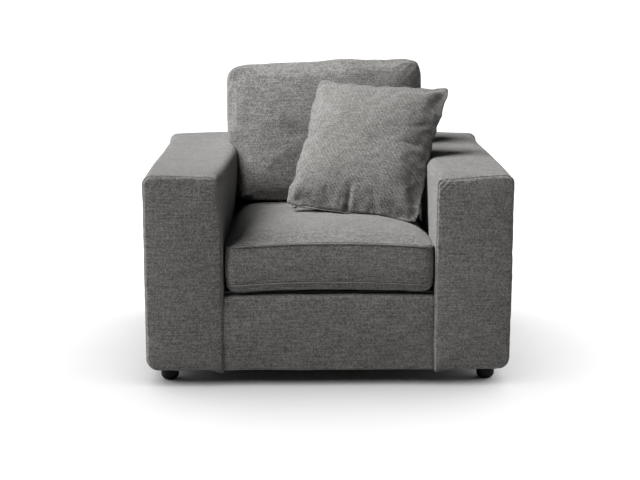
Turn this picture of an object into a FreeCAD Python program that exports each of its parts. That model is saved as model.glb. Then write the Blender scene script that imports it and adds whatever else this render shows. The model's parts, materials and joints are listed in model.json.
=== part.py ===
import FreeCAD, Part
import math
import os

# Upholstered box-arm armchair: two wide arms, a low back between them, a sprung seat deck,
# a loose seat cushion, a loose back cushion and a loose throw pillow.
#
# Units are millimetres. +Z is up, +X is to the right of someone who faces the chair's front,
# and the front faces -Y. The origin is on the floor under the middle of the outline.
# "left" and "right" are as seen by someone who faces the front.

Vector = FreeCAD.Vector

# ---- driving dimensions -------------------------------------------------------------------
OVERALL_WIDTH = 1080.0
OVERALL_DEPTH = 980.0
ARM_WIDTH = 225.0
ARM_HEIGHT = 635.0          # also the height of the low back
FOOT_HEIGHT = 48.0
FOOT_RADIUS = 27.0
DECK_FRONT_HEIGHT = 284.0   # underside of the seat cushion at the front
SEAT_PITCH = 2.0            # degrees, front edge higher
BACK_LEAN = 12.0            # degrees from upright
TOP_HEIGHT = 897.0          # top of the back cushion

FABRIC = 2.0                # upholstery fabric with its backing
CUSHION_FABRIC = 1.5
PADDING_GAP = 0.3           # between a cover's inner face and the foam under it
CORE_GAP = 1.0              # between a cushion's cover and its filling
BOARD = 18.0                # plywood boards
TOP_BOARD = 12.0
RAIL = 25.0                 # sawn timber rails
PANEL = 3.0                 # hardboard side panels
DUST_CLOTH = 1.0

# ---- places that follow from them ---------------------------------------------------------
HALF_WIDTH = OVERALL_WIDTH / 2
FRONT_Y = -OVERALL_DEPTH / 2
REAR_Y = OVERALL_DEPTH / 2
SEAT_HALF = HALF_WIDTH - ARM_WIDTH            # inner faces of the arms
COVER_Z0 = FOOT_HEIGHT + DUST_CLOTH           # underside of the covers
FRAME_Z0 = COVER_Z0 + FABRIC + 1.0            # underside of the timber
LEAN_TAN = math.tan(math.radians(BACK_LEAN))
FAR = 700.0                 # beyond the chair in any direction across it

# The arm's timber frame, inside its padding, for the arm at +X.
ARM_PAD_INNER = 22.0
ARM_PAD_OUTER = 12.0
ARM_PAD_FRONT = 16.0
ARM_PAD_REAR = 14.0
ARM_PAD_TOP = 27.0
ARM_X0 = SEAT_HALF + ARM_PAD_INNER
ARM_X1 = HALF_WIDTH - ARM_PAD_OUTER
ARM_Y0 = FRONT_Y + ARM_PAD_FRONT
ARM_Y1 = REAR_Y - ARM_PAD_REAR
ARM_Z1 = ARM_HEIGHT - ARM_PAD_TOP
FOOT_X = 478.0
FOOT_Y = 394.0
RAIL_HEIGHT = 40.0
FOOT_RAIL_X0 = FOOT_X - RAIL_HEIGHT / 2

# The inside of the back is a plane that leans back from this line across the chair.
BACK_FOOT_Y = 262.0
BACK_FOOT_Z = 258.0
BACK_STEP_Z = 236.0         # the back's frame steps out under its padding here
BACK_COVER_Z0 = 240.0
BACK_HALF = SEAT_HALF - 1.0                   # the back sits between the arms
BACK_PAD = 24.0

# The seat deck, measured down from the cushion's underside, square to the deck.
DECK_CLOTH_TOP = -0.5
DECK_CLOTH = 1.5
DECK_PAD = 10.0
SPRING_WIRE = 3.8
SPRING_Z = DECK_CLOTH_TOP - DECK_CLOTH - DECK_PAD - SPRING_WIRE / 2
RAIL_TOP = SPRING_Z - SPRING_WIRE / 2
APRON_RECESS = 8.0                            # the apron stands back from the arms' fronts
APRON_TOP = 279.5
APRON_DEPTH = 36.0

# The bolts that hold the arms to the seat frame.
BOLT_R = 4.0
BOLT_HOLE_R = 4.5
BOLT_YS = (-330.0, 130.0)
BOLT_ZS = (FRAME_Z0 + RAIL_HEIGHT / 2, 202.0)
BOLT_RAIL_Z0 = 180.0
BOLT_RAIL_Z1 = 225.0

# The loose cushions.
SEAT_CUSHION_HALF = SEAT_HALF - 4.0
SEAT_CUSHION_Y0 = 4.0
SEAT_CUSHION_Y1 = 744.0
SEAT_TOP = 188.0                              # crown of the seat cushion over the deck
BACK_CUSHION_HALF = SEAT_HALF - 3.0
BACK_CUSHION_DEPTH = 226.0
BACK_REST_ABOVE_DECK = 187.5                  # underside of the back cushion
PILLOW_SIZE = 440.0
PILLOW_DEPTH = 150.0
PILLOW_CENTRE = Vector(124.0, -58.0, 656.0)
PILLOW_YAW = -25.5
PILLOW_LEAN = -33.0
PILLOW_ROLL = 3.5


# ---- small helpers ------------------------------------------------------------------------
def box(x0, x1, y0, y1, z0, z1):
    """A block between two opposite corners."""
    return Part.makeBox(x1 - x0, y1 - y0, z1 - z0, Vector(x0, y0, z0))


def cylinder(radius, start, end):
    """A round bar from one point to another."""
    along = end - start
    return Part.makeCylinder(radius, along.Length, start, along)


def group(shapes):
    """Several separate solids that share one node."""
    return Part.makeCompound(list(shapes))


def mirrored(shape):
    """The same shape on the other side of the chair."""
    return shape.mirror(Vector(0, 0, 0), Vector(1, 0, 0))


def polygon_face(points):
    """A flat face with straight edges."""
    return Part.Face(Part.makePolygon(list(points) + [points[0]]))


def path_face(start, *pieces):
    """A flat face. A piece is a point, for a straight edge, or (middle, end), for an arc."""
    edges = []
    here = start
    for piece in list(pieces) + [start]:
        if isinstance(piece, tuple):
            edges.append(Part.Arc(here, piece[0], piece[1]).toShape())
            here = piece[1]
        elif (piece - here).Length > 1e-6:
            edges.append(Part.LineSegment(here, piece).toShape())
            here = piece
    return Part.Face(Part.Wire(edges))


def rounded_rectangle(u0, u1, v0, v1, radii, point):
    """A face with its own radius at each corner: (u1,v1), (u0,v1), (u0,v0), (u1,v0).

    point(u, v) gives the corner of the face in space.
    """
    corners = [(u1, v1, 45), (u0, v1, 135), (u0, v0, 225), (u1, v0, 315)]
    pieces = []
    for (u, v, middle), radius in zip(corners, radii):
        centre_u = u - radius if u == u1 else u + radius
        centre_v = v - radius if v == v1 else v + radius
        arc = []
        for angle in (middle - 45, middle, middle + 45):
            turn = math.radians(angle)
            arc.append(point(centre_u + radius * math.cos(turn), centre_v + radius * math.sin(turn)))
        pieces.append(arc)
    start = pieces[0][0]
    path = []
    for first, middle, last in pieces:
        path.append(first)
        path.append((middle, last))
    return path_face(start, *path)


def on_deck(shape):
    """Moves a shape from the deck's frame, with its origin at the deck's front edge, to the chair's."""
    shape.Placement = deck_placement().multiply(shape.Placement)
    return shape


def deck_placement():
    turn = FreeCAD.Rotation(Vector(1, 0, 0), -SEAT_PITCH)
    return FreeCAD.Placement(Vector(0, FRONT_Y, DECK_FRONT_HEIGHT), turn)


def back_placement():
    turn = FreeCAD.Rotation(Vector(1, 0, 0), -BACK_LEAN)
    return FreeCAD.Placement(Vector(0, BACK_FOOT_Y, BACK_FOOT_Z), turn)


def pillow_placement():
    yaw = FreeCAD.Rotation(Vector(0, 0, 1), PILLOW_YAW)
    lean = FreeCAD.Rotation(Vector(1, 0, 0), PILLOW_LEAN)
    roll = FreeCAD.Rotation(Vector(0, 1, 0), PILLOW_ROLL)
    return FreeCAD.Placement(PILLOW_CENTRE, yaw.multiply(lean).multiply(roll))


def above_deck(clearance):
    """Everything over the plane that lies this far under the cushion's underside."""
    return on_deck(box(-FAR, FAR, -200, 1200, clearance, 900))


# ---- arms, modelled at +X -----------------------------------------------------------------
ARM_RADII = (28.0, 24.0, 14.0, 40.0)          # outer top, inner top, inner bottom, outer bottom
ARM_EDGE_R = 11.0
BOLT_RAIL_DEPTH = 30.0
RIB_YS = (-165.0, 165.0)
RIB_WINDOW_Z = 410.0
RIB_WINDOW_R = 55.0


def arm_body(inset):
    """The arm's outer form, or the same form this far inside it."""
    face = rounded_rectangle(
        SEAT_HALF + inset, HALF_WIDTH - inset, COVER_Z0 + inset, ARM_HEIGHT - inset,
        [radius - inset for radius in ARM_RADII],
        lambda u, v: Vector(u, FRONT_Y + inset, v),
    )
    solid = face.extrude(Vector(0, OVERALL_DEPTH - 2 * inset, 0))
    ends = []
    for edge in solid.Edges:
        low, high = edge.BoundBox.YMin, edge.BoundBox.YMax
        if high - low < 0.01:
            ends.append(edge)
    return solid.makeFillet(ARM_EDGE_R - inset, ends)


def arm_frame_form(y0, y1):
    """The form that the arm's boards fill, between two stations."""
    face = rounded_rectangle(
        ARM_X0, ARM_X1, FRAME_Z0, ARM_Z1, (14.0, 4.0, 3.0, 30.0),
        lambda u, v: Vector(u, y0, v),
    )
    return face.extrude(Vector(0, y1 - y0, 0))


def arm_bottom_opening():
    """The cover turns under the arm by this much; inside that the dust cloth closes the arm."""
    turn_under = 30.0
    return box(
        SEAT_HALF + turn_under, HALF_WIDTH - turn_under,
        FRONT_Y + turn_under, REAR_Y - turn_under, COVER_Z0 - 1, FRAME_Z0,
    )


def bolt_stations():
    return [(y, z) for y in BOLT_YS for z in BOLT_ZS]


def arm_bolt_holes():
    return group(
        cylinder(BOLT_HOLE_R, Vector(SEAT_HALF - 40, y, z), Vector(ARM_X0 + 60, y, z))
        for y, z in bolt_stations()
    )


def foot_stations():
    return [(FOOT_X, -FOOT_Y), (FOOT_X, FOOT_Y)]


TEE_BARREL_R = 5.5
TEE_BARREL = 12.0
TEE_FLANGE = 1.6
TEE_FLANGE_R = 11.0


def arm_parts():
    """Every piece of the arm at +X, by its short name."""
    parts = {}
    holes = arm_bolt_holes()
    opening = arm_bottom_opening()

    cover = arm_body(0).cut(arm_body(FABRIC)).cut(opening)
    parts["cover"] = cover.cut(holes)

    filled = arm_frame_form(ARM_Y0, ARM_Y1)
    underside = box(0, 700, FRONT_Y, REAR_Y, 0, FRAME_Z0)
    padding = arm_body(FABRIC + PADDING_GAP).cut(filled).cut(underside)
    parts["padding"] = padding.cut(holes)

    parts["front_board"] = arm_frame_form(ARM_Y0, ARM_Y0 + BOARD)
    parts["rear_board"] = arm_frame_form(ARM_Y1 - BOARD, ARM_Y1)

    y0, y1 = ARM_Y0 + BOARD, ARM_Y1 - BOARD
    board = box(ARM_X0, ARM_X1, y0, y1, ARM_Z1 - TOP_BOARD, ARM_Z1)
    parts["top_board"] = board.common(filled)

    rail_top = FRAME_Z0 + RAIL_HEIGHT
    inner_rail = box(ARM_X0 + PANEL, ARM_X0 + PANEL + RAIL_HEIGHT, y0, y1, FRAME_Z0, rail_top)
    foot_rail = box(FOOT_RAIL_X0, FOOT_RAIL_X0 + RAIL_HEIGHT, y0, y1, FRAME_Z0, rail_top)
    for x, y in foot_stations():
        foot_rail = foot_rail.cut(cylinder(BOLT_HOLE_R, Vector(x, y, 0), Vector(x, y, 200)))
        seat = cylinder(TEE_BARREL_R, Vector(x, y, rail_top - TEE_BARREL), Vector(x, y, 200))
        foot_rail = foot_rail.cut(seat)
    bolt_x1 = ARM_X0 + PANEL + BOLT_RAIL_DEPTH
    bolt_rail = box(ARM_X0 + PANEL, bolt_x1, y0, y1, BOLT_RAIL_Z0, BOLT_RAIL_Z1)
    parts["rails"] = group([inner_rail.cut(holes), foot_rail, bolt_rail.cut(holes)])

    ribs = []
    for middle in RIB_YS:
        front, rear = middle - TOP_BOARD / 2, middle + TOP_BOARD / 2
        rib = box(ARM_X0 + PANEL, ARM_X1 - PANEL, front, rear, rail_top, ARM_Z1 - TOP_BOARD)
        centre = Vector((ARM_X0 + ARM_X1) / 2, middle - 20, RIB_WINDOW_Z)
        window = cylinder(RIB_WINDOW_R, centre, centre + Vector(0, 40, 0))
        ribs.append(rib.cut(bolt_rail).cut(window))
    parts["ribs"] = group(ribs)

    inner = box(ARM_X0, ARM_X0 + PANEL, y0, y1, FRAME_Z0 + 4, ARM_Z1 - TOP_BOARD)
    outer = box(ARM_X1 - PANEL, ARM_X1, y0, y1, rail_top, ARM_Z1 - TOP_BOARD - 4)
    parts["side_panels"] = group([inner.cut(holes), outer])
    return parts


BOLT_HEAD = 4.0
BOLT_HEAD_R = 9.0
WASHER = 1.6
WASHER_R = 12.0
WASHER_HOLE_R = 4.2
NUT = 6.5
NUT_CORNER_R = 7.5


def arm_bolts():
    """Carriage bolts with a washer and a nut, from inside the seat frame into each arm."""
    solids = []
    head_x = SEAT_HALF - RAIL
    for y, z in bolt_stations():
        end_x = ARM_X0 + PANEL + (RAIL_HEIGHT if z < BOLT_RAIL_Z0 else BOLT_RAIL_DEPTH)
        washer_x = end_x + WASHER
        nut_x = washer_x + NUT
        shank = cylinder(BOLT_R, Vector(head_x, y, z), Vector(nut_x + 4, y, z))
        head = cylinder(BOLT_HEAD_R, Vector(head_x - BOLT_HEAD, y, z), Vector(head_x, y, z))
        solids.append(shank.fuse(head))
        washer = cylinder(WASHER_R, Vector(end_x, y, z), Vector(washer_x, y, z))
        hole = cylinder(WASHER_HOLE_R, Vector(end_x - 1, y, z), Vector(nut_x, y, z))
        solids.append(washer.cut(hole))
        corners = []
        for corner in range(6):
            turn = math.radians(60 * corner)
            out, up = NUT_CORNER_R * math.cos(turn), NUT_CORNER_R * math.sin(turn)
            corners.append(Vector(washer_x, y + out, z + up))
        nut = polygon_face(corners).extrude(Vector(nut_x - washer_x, 0, 0))
        bore = cylinder(BOLT_R + 0.05, Vector(end_x, y, z), Vector(nut_x + 1, y, z))
        solids.append(nut.cut(bore))
    return group(solids + [mirrored(solid) for solid in solids])


# ---- feet ---------------------------------------------------------------------------------
FOOT_EDGE_R = 16.0
FOOT_BOLT_Z0 = 20.0
FOOT_BOLT_Z1 = FRAME_Z0 + RAIL_HEIGHT - 2.0


def foot(x, y):
    """A round moulded foot with a flat underside and a hole for its bolt."""
    turn = math.radians(45)
    flat = FOOT_RADIUS - FOOT_EDGE_R
    middle = Vector(flat + FOOT_EDGE_R * math.sin(turn), 0, FOOT_EDGE_R * (1 - math.cos(turn)))
    half = path_face(
        Vector(0, 0, 0), Vector(flat, 0, 0), (middle, Vector(FOOT_RADIUS, 0, FOOT_EDGE_R)),
        Vector(FOOT_RADIUS, 0, FOOT_HEIGHT), Vector(0, 0, FOOT_HEIGHT),
    )
    solid = half.revolve(Vector(0, 0, 0), Vector(0, 0, 1), 360)
    solid = solid.cut(cylinder(BOLT_R, Vector(0, 0, FOOT_BOLT_Z0), Vector(0, 0, 100)))
    solid.translate(Vector(x, y, 0))
    return solid


def foot_fixings():
    """A stud from each foot and the tee nut that it screws into."""
    rail_top = FRAME_Z0 + RAIL_HEIGHT
    solids = []
    for x, y in foot_stations():
        solids.append(cylinder(BOLT_R, Vector(x, y, FOOT_BOLT_Z0), Vector(x, y, FOOT_BOLT_Z1)))
        barrel = cylinder(TEE_BARREL_R, Vector(x, y, rail_top - TEE_BARREL), Vector(x, y, rail_top))
        flange = cylinder(TEE_FLANGE_R, Vector(x, y, rail_top), Vector(x, y, rail_top + TEE_FLANGE))
        bore = cylinder(BOLT_R + 0.05, Vector(x, y, 0), Vector(x, y, 200))
        solids.append(barrel.fuse(flange).cut(bore))
    return group(solids + [mirrored(solid) for solid in solids])


# ---- seat frame ---------------------------------------------------------------------------
REAR_RAIL_Y1 = BACK_FOOT_Y - 10.0
SIDE_Y0 = ARM_Y0 + RAIL


def front_rail():
    rail = box(-SEAT_HALF, SEAT_HALF, ARM_Y0, SIDE_Y0, FRAME_Z0, 300)
    return rail.cut(above_deck(RAIL_TOP))


def rear_rail():
    rail = box(-SEAT_HALF + RAIL, SEAT_HALF - RAIL, REAR_RAIL_Y1 - RAIL, REAR_RAIL_Y1, FRAME_Z0, 300)
    return rail.cut(above_deck(RAIL_TOP))


def side_rail():
    rail = box(SEAT_HALF - RAIL, SEAT_HALF, SIDE_Y0, REAR_RAIL_Y1, FRAME_Z0, 300)
    return rail.cut(above_deck(RAIL_TOP)).cut(arm_bolt_holes())


BLOCK_LEG = 70.0
BLOCK_HEIGHT = 90.0


def corner_blocks():
    """Glue blocks across the four inner corners of the seat frame."""
    leg = BLOCK_LEG
    x = SEAT_HALF - RAIL
    solids = []
    for y, inward in ((SIDE_Y0, leg), (REAR_RAIL_Y1 - RAIL, -leg)):
        face = polygon_face([
            Vector(x, y, FRAME_Z0), Vector(x - leg, y, FRAME_Z0), Vector(x, y + inward, FRAME_Z0),
        ])
        block = face.extrude(Vector(0, 0, BLOCK_HEIGHT))
        solids += [block, mirrored(block)]
    return group(solids)


SPRING_PITCH = 20.0         # between neighbouring cross runs
SPRING_HALF = 22.0          # from the spring's centre line to the outside of a bend
SPRING_Y0 = 24.0            # in the deck's frame
SPRING_SPACING = 118.0


def zigzag_wire():
    """The centre line of one sinuous spring: straight cross runs joined by half circles."""
    bend = SPRING_PITCH / 2
    reach = SPRING_HALF - bend
    y = SPRING_Y0
    last_y = REAR_RAIL_Y1 - FRONT_Y - 10
    edges = [Part.LineSegment(Vector(0, y, 0), Vector(reach, y, 0)).toShape()]
    side = 1
    while y + SPRING_PITCH < last_y:
        start = Vector(side * reach, y, 0)
        middle = Vector(side * (reach + bend), y + bend, 0)
        y += SPRING_PITCH
        end = Vector(side * reach, y, 0)
        edges.append(Part.Arc(start, middle, end).toShape())
        end_x = 0 if y + SPRING_PITCH >= last_y else -side * reach
        edges.append(Part.LineSegment(end, Vector(end_x, y, 0)).toShape())
        side = -side
    return Part.Wire(edges), y


def spring_xs():
    return [SPRING_SPACING * step for step in (-2, -1, 0, 1, 2)]


def seat_spring(x):
    """One sinuous spring, lying on the front and rear rails."""
    wire, _ = zigzag_wire()
    ring = Part.Wire(Part.makeCircle(SPRING_WIRE / 2, Vector(0, SPRING_Y0, 0), Vector(1, 0, 0)))
    spring = wire.makePipeShell([ring], True, False)
    spring.translate(Vector(x, 0, SPRING_Z))
    return on_deck(spring)


CLIP_HALF_LENGTH = 8.0
CLIP_HALF_WIDTH = 5.0
CLIP_THICK = 1.2
CLIP_PLAY = 0.1
TIE_RADIUS = 1.5
TIE_YS = (260.0, 500.0)


def spring_ends():
    """Where the springs' first and last cross runs are, in the deck's frame."""
    _, last_y = zigzag_wire()
    return [(x, y) for x in spring_xs() for y in (SPRING_Y0, last_y)]


def spring_clips():
    """A steel clip over each end of each spring."""
    over = SPRING_WIRE / 2 + CLIP_PLAY
    top = SPRING_Z + over
    long, wide = CLIP_HALF_LENGTH, CLIP_HALF_WIDTH
    solids = []
    for x, y in spring_ends():
        clip = box(x - long, x + long, y - wide, y + wide, RAIL_TOP, top + CLIP_THICK)
        tunnel = box(x - long - 1, x + long + 1, y - over, y + over, RAIL_TOP - 1, top)
        solids.append(on_deck(clip.cut(tunnel)))
    return group(solids)


def cross_tie_wires():
    """Two straight wires under the springs, from side rail to side rail."""
    z = RAIL_TOP - TIE_RADIUS - 0.05
    reach = SEAT_HALF - RAIL
    return group(
        on_deck(cylinder(TIE_RADIUS, Vector(-reach, y, z), Vector(reach, y, z)))
        for y in TIE_YS
    )


DECK_Y0 = SIDE_Y0 - FRONT_Y + 4.0
DECK_Y1 = BACK_FOOT_Y - FRONT_Y - 4.0


def deck_pad():
    """Felt over the springs, hollowed for the clips' caps."""
    top = DECK_CLOTH_TOP - DECK_CLOTH
    pad = on_deck(box(-BACK_HALF, BACK_HALF, DECK_Y0, DECK_Y1, top - DECK_PAD, top))
    long, wide = CLIP_HALF_LENGTH + 1, CLIP_HALF_WIDTH + 1
    base = top - DECK_PAD
    return pad.cut(group(
        on_deck(box(x - long, x + long, y - wide, y + wide, base, base + 2))
        for x, y in spring_ends()
    ))


def deck_cloth():
    z = DECK_CLOTH_TOP
    return on_deck(box(-BACK_HALF, BACK_HALF, DECK_Y0, DECK_Y1, z - DECK_CLOTH, z))


def apron_form(inset):
    """The front apron's outer form, or the same form this far inside it."""
    y0 = FRONT_Y + APRON_RECESS + inset
    y1 = SIDE_Y0 + 3.0
    z1 = APRON_TOP - inset
    radius = 12.0 - inset
    face = rounded_rectangle(
        y0, y1, COVER_Z0, z1, (0.5, radius, 0.5, 0.5), lambda u, v: Vector(-BACK_HALF, u, v),
    )
    return face.extrude(Vector(2 * BACK_HALF, 0, 0))


def apron_cover():
    behind = box(-FAR, FAR, SIDE_Y0, SIDE_Y0 + 10, 0, APRON_TOP - FABRIC)
    return apron_form(0).cut(apron_form(FABRIC)).cut(behind)


def apron_padding():
    over_clips = APRON_TOP - 6.0
    rail_zone = box(-FAR, FAR, ARM_Y0, 0, 0, over_clips)
    underside = box(-FAR, FAR, -700, 0, 0, FRAME_Z0)
    beyond = box(-FAR, FAR, SIDE_Y0, 0, 0, 400)
    return apron_form(FABRIC + PADDING_GAP).cut(rail_zone).cut(underside).cut(beyond)


# ---- back ---------------------------------------------------------------------------------
def back_y(z, behind=0.0):
    """Where the inside of the back is at a height, or a plane this far behind it."""
    return BACK_FOOT_Y + (z - BACK_FOOT_Z) * LEAN_TAN + behind / math.cos(math.radians(BACK_LEAN))


def back_form(inset, half):
    """The low back's padded form in side view, or the same form this far inside it."""
    top = ARM_HEIGHT - inset
    rear = REAR_Y - inset
    base = BACK_COVER_Z0
    front_r = 30.0 - inset
    rear_r = 20.0 - inset
    slope = math.radians(90 - BACK_LEAN)
    # The front top corner is rounded between the leaning plane and the flat top.
    reach = front_r * math.tan(slope / 2)
    corner = Vector(-half, back_y(top, inset), top)
    lean = Vector(0, math.cos(slope), math.sin(slope))
    arc_start = corner - lean * reach
    arc_end = corner + Vector(0, reach, 0)
    centre = arc_end - Vector(0, 0, front_r)
    bisector = (corner - centre).normalize()
    middle = centre + bisector * front_r
    rear_centre = Vector(-half, rear - rear_r, top - rear_r)
    rear_middle = rear_centre + Vector(0, rear_r, rear_r) * math.sqrt(0.5)
    face = path_face(
        Vector(-half, back_y(base, inset), base), arc_start, (middle, arc_end),
        Vector(-half, rear - rear_r, top), (rear_middle, Vector(-half, rear, top - rear_r)),
        Vector(-half, rear, base),
    )
    return face.extrude(Vector(2 * half, 0, 0))


def back_frame_form(x0, x1):
    """The outline of the back's posts, from one station to another across the chair."""
    top = ARM_Z1
    face = polygon_face([
        Vector(x0, REAR_RAIL_Y1, FRAME_Z0), Vector(x0, REAR_RAIL_Y1, BACK_STEP_Z),
        Vector(x0, back_y(BACK_STEP_Z, BACK_PAD), BACK_STEP_Z),
        Vector(x0, back_y(top, BACK_PAD), top), Vector(x0, ARM_Y1, top),
        Vector(x0, ARM_Y1, FRAME_Z0),
    ])
    return face.extrude(Vector(x1 - x0, 0, 0))


def back_post():
    return back_frame_form(BACK_HALF - RAIL, BACK_HALF)


def back_top_board():
    inner = BACK_HALF - RAIL
    return back_frame_form(-inner, inner).common(box(-FAR, FAR, 0, 600, ARM_Z1 - BOARD, 700))


def back_lower_rail():
    inner = BACK_HALF - RAIL
    zone = box(-FAR, FAR, 0, back_y(300, BACK_PAD + RAIL), 290, 350)
    return back_frame_form(-inner, inner).common(zone)


WEB_WIDTH = 50.0
WEB_THICK = 1.6
WEB_Z0 = 70.0               # along the leaning back
WEB_SPACING = 75.0
COVER_SEAM_Z = ARM_HEIGHT - 22.0


def back_webbing():
    """Elastic straps across the posts, under the padding of the inside back."""
    strips = []
    for step in range(4):
        z = WEB_Z0 + WEB_SPACING * step
        strip = box(-BACK_HALF, BACK_HALF, BACK_PAD - WEB_THICK, BACK_PAD, z, z + WEB_WIDTH)
        strip.Placement = back_placement()
        strips.append(strip)
    return group(strips)


def back_padding():
    frame = back_frame_form(-FAR, FAR)
    padding = back_form(FABRIC + PADDING_GAP, BACK_HALF).cut(frame)
    behind = box(-FAR, FAR, ARM_Y1 - 1, REAR_Y, 0, ARM_Z1)
    return padding.cut(behind).cut(back_webbing())


def back_outer_panel():
    """Hardboard across the rear of the posts."""
    return box(-BACK_HALF, BACK_HALF, ARM_Y1, ARM_Y1 + PANEL, FRAME_Z0, ARM_Z1 - 2)


def inside_back_cover():
    """Fabric over the inside and the top of the back, down to its rear seam."""
    shell = back_form(0, BACK_HALF).cut(back_form(FABRIC, BACK_HALF))
    lower_rear = box(-FAR, FAR, REAR_Y - 30, REAR_Y, 0, COVER_SEAM_Z)
    return shell.cut(lower_rear)


def outside_back_cover():
    """Fabric panel over the rear of the back, from its seam to under the frame."""
    panel = box(-BACK_HALF, BACK_HALF, REAR_Y - FABRIC, REAR_Y, COVER_Z0, COVER_SEAM_Z)
    hem = box(-BACK_HALF, BACK_HALF, REAR_Y - 30, REAR_Y, COVER_Z0, COVER_Z0 + FABRIC)
    return panel.fuse(hem)


def dust_cover():
    """Black cloth stapled under the whole frame."""
    edge = 18.0
    half = HALF_WIDTH - 38
    sheet = box(-half, half, FRONT_Y + edge, REAR_Y - edge, FOOT_HEIGHT, COVER_Z0)
    for x, y in foot_stations():
        for side in (-1, 1):
            sheet = sheet.cut(cylinder(6.0, Vector(side * x, y, 0), Vector(side * x, y, 100)))
    return sheet


# ---- zips ---------------------------------------------------------------------------------
GROOVE_DEPTH = 7.5
GROOVE_HALF = 6.5
CHAIN_HALF = 2.8
CHAIN_THICK = 2.2
SLIDER_LENGTH = 12.0
SLIDER_HALF = 4.8
ZIP_PLAY = 0.3


def zip_groove(length, wall=0.0):
    """The recess that a zip lies in, along X. It opens towards -Y, from the plane y = 0."""
    half = length / 2 + wall
    high = GROOVE_HALF + wall
    return box(-half, half, -10, GROOVE_DEPTH + wall, -high, high)


def zip_chain(length):
    half = length / 2 - 4
    return box(-half, half, GROOVE_DEPTH - CHAIN_THICK, GROOVE_DEPTH, -CHAIN_HALF, CHAIN_HALF)


def zip_slider(length):
    """A plain slider with no pull, at the closed end of its zip."""
    x0 = -length / 2 + 8
    x1 = x0 + SLIDER_LENGTH
    outer = box(x0, x1, 1.5, GROOVE_DEPTH - ZIP_PLAY, -SLIDER_HALF, SLIDER_HALF)
    roof = GROOVE_DEPTH - CHAIN_THICK - ZIP_PLAY
    high = CHAIN_HALF + ZIP_PLAY
    slot = box(x0 - 1, x1 + 1, roof, GROOVE_DEPTH, -high, high)
    upright = []
    for edge in outer.Edges:
        if edge.BoundBox.YLength > 3 and edge.BoundBox.XLength < 0.1:
            upright.append(edge)
    return outer.makeFillet(2.5, upright).cut(slot)


def placed(shape, placement):
    """A copy of a shape, moved."""
    copy = shape.copy()
    copy.Placement = placement.multiply(copy.Placement)
    return copy


def cushion_parts(form, zip_length, zip_placement):
    """Cover, filling, zip and slider of a cushion whose solid is form(inset)."""
    groove = placed(zip_groove(zip_length), zip_placement)
    lining = placed(zip_groove(zip_length, CUSHION_FABRIC), zip_placement)
    room = placed(zip_groove(zip_length, CUSHION_FABRIC + CORE_GAP), zip_placement)
    cover = form(0).cut(groove).cut(form(CUSHION_FABRIC).cut(lining))
    filling = form(CUSHION_FABRIC + CORE_GAP).cut(room)
    chain = placed(zip_chain(zip_length), zip_placement)
    slider = placed(zip_slider(zip_length), zip_placement)
    return cover, filling, chain, slider


# ---- seat cushion, in the deck's frame ----------------------------------------------------
SEAT_BOX_TOP = 150.0        # top seam of the boxing at the front
SEAT_BOX_REAR = 164.0
SEAT_CURL = 27.0            # the underside curls up to the lower seam
SEAT_CORNER_R = 30.0
SEAT_SHOULDER = 85.0        # the crown eases off this far in from each side
SEAT_SHOULDER_DROP = 12.0
SEAT_ZIP_LENGTH = 540.0
SEAT_ZIP_Z = 90.0


def seat_form(inset):
    """Crowned box cushion: what three simple forms, one per direction, have in common.

    The plan alone cuts the walls: the other two forms reach a little past them.
    """
    half = SEAT_CUSHION_HALF - inset
    y0 = SEAT_CUSHION_Y0 + inset
    y1 = SEAT_CUSHION_Y1 - inset
    past = 2.0
    wide, near, far = half + past, y0 - past, y1 + past
    middle = (y0 + y1) / 2 - 40
    curl = SEAT_CURL
    side = path_face(
        Vector(-wide, near, curl), Vector(-wide, near, SEAT_BOX_TOP - inset),
        (Vector(-wide, middle, SEAT_TOP - inset), Vector(-wide, far, SEAT_BOX_REAR - inset)),
        Vector(-wide, far, curl), Vector(-wide, far - curl + inset, inset),
        Vector(-wide, near + curl - inset, inset),
    ).extrude(Vector(2 * wide, 0, 0))
    outline = [
        (wide, curl), (wide, SEAT_BOX_TOP - inset),
        (half - SEAT_SHOULDER, SEAT_TOP - SEAT_SHOULDER_DROP - inset), (0, SEAT_TOP + 1 - inset),
        (SEAT_SHOULDER - half, SEAT_TOP - SEAT_SHOULDER_DROP - inset),
        (-wide, SEAT_BOX_TOP - inset), (-wide, curl),
        (curl - wide - inset, inset), (wide - curl + inset, inset),
    ]
    front = polygon_face([Vector(x, near, z) for x, z in outline]).extrude(Vector(0, far - near, 0))
    plan = rounded_rectangle(
        -half, half, y0, y1, [SEAT_CORNER_R - inset] * 4, lambda u, v: Vector(u, v, -50),
    ).extrude(Vector(0, 0, 400))
    return on_deck(side.common(front).common(plan))


def seat_zip_placement():
    turn = FreeCAD.Rotation(Vector(0, 0, 1), 180)
    local = FreeCAD.Placement(Vector(0, SEAT_CUSHION_Y1, SEAT_ZIP_Z), turn)
    return deck_placement().multiply(local)


# ---- back cushion, in the back's frame ----------------------------------------------------
BACK_REAR = -3.0            # clear of the inside back
BACK_CROWN = 26.0
BACK_PEAK = 83.0            # its highest line lies this far behind its front
BACK_CORNER_R = 34.0
BACK_ZIP_LENGTH = 540.0
BACK_ZIP_Y = 640.0          # in the deck's frame


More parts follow.
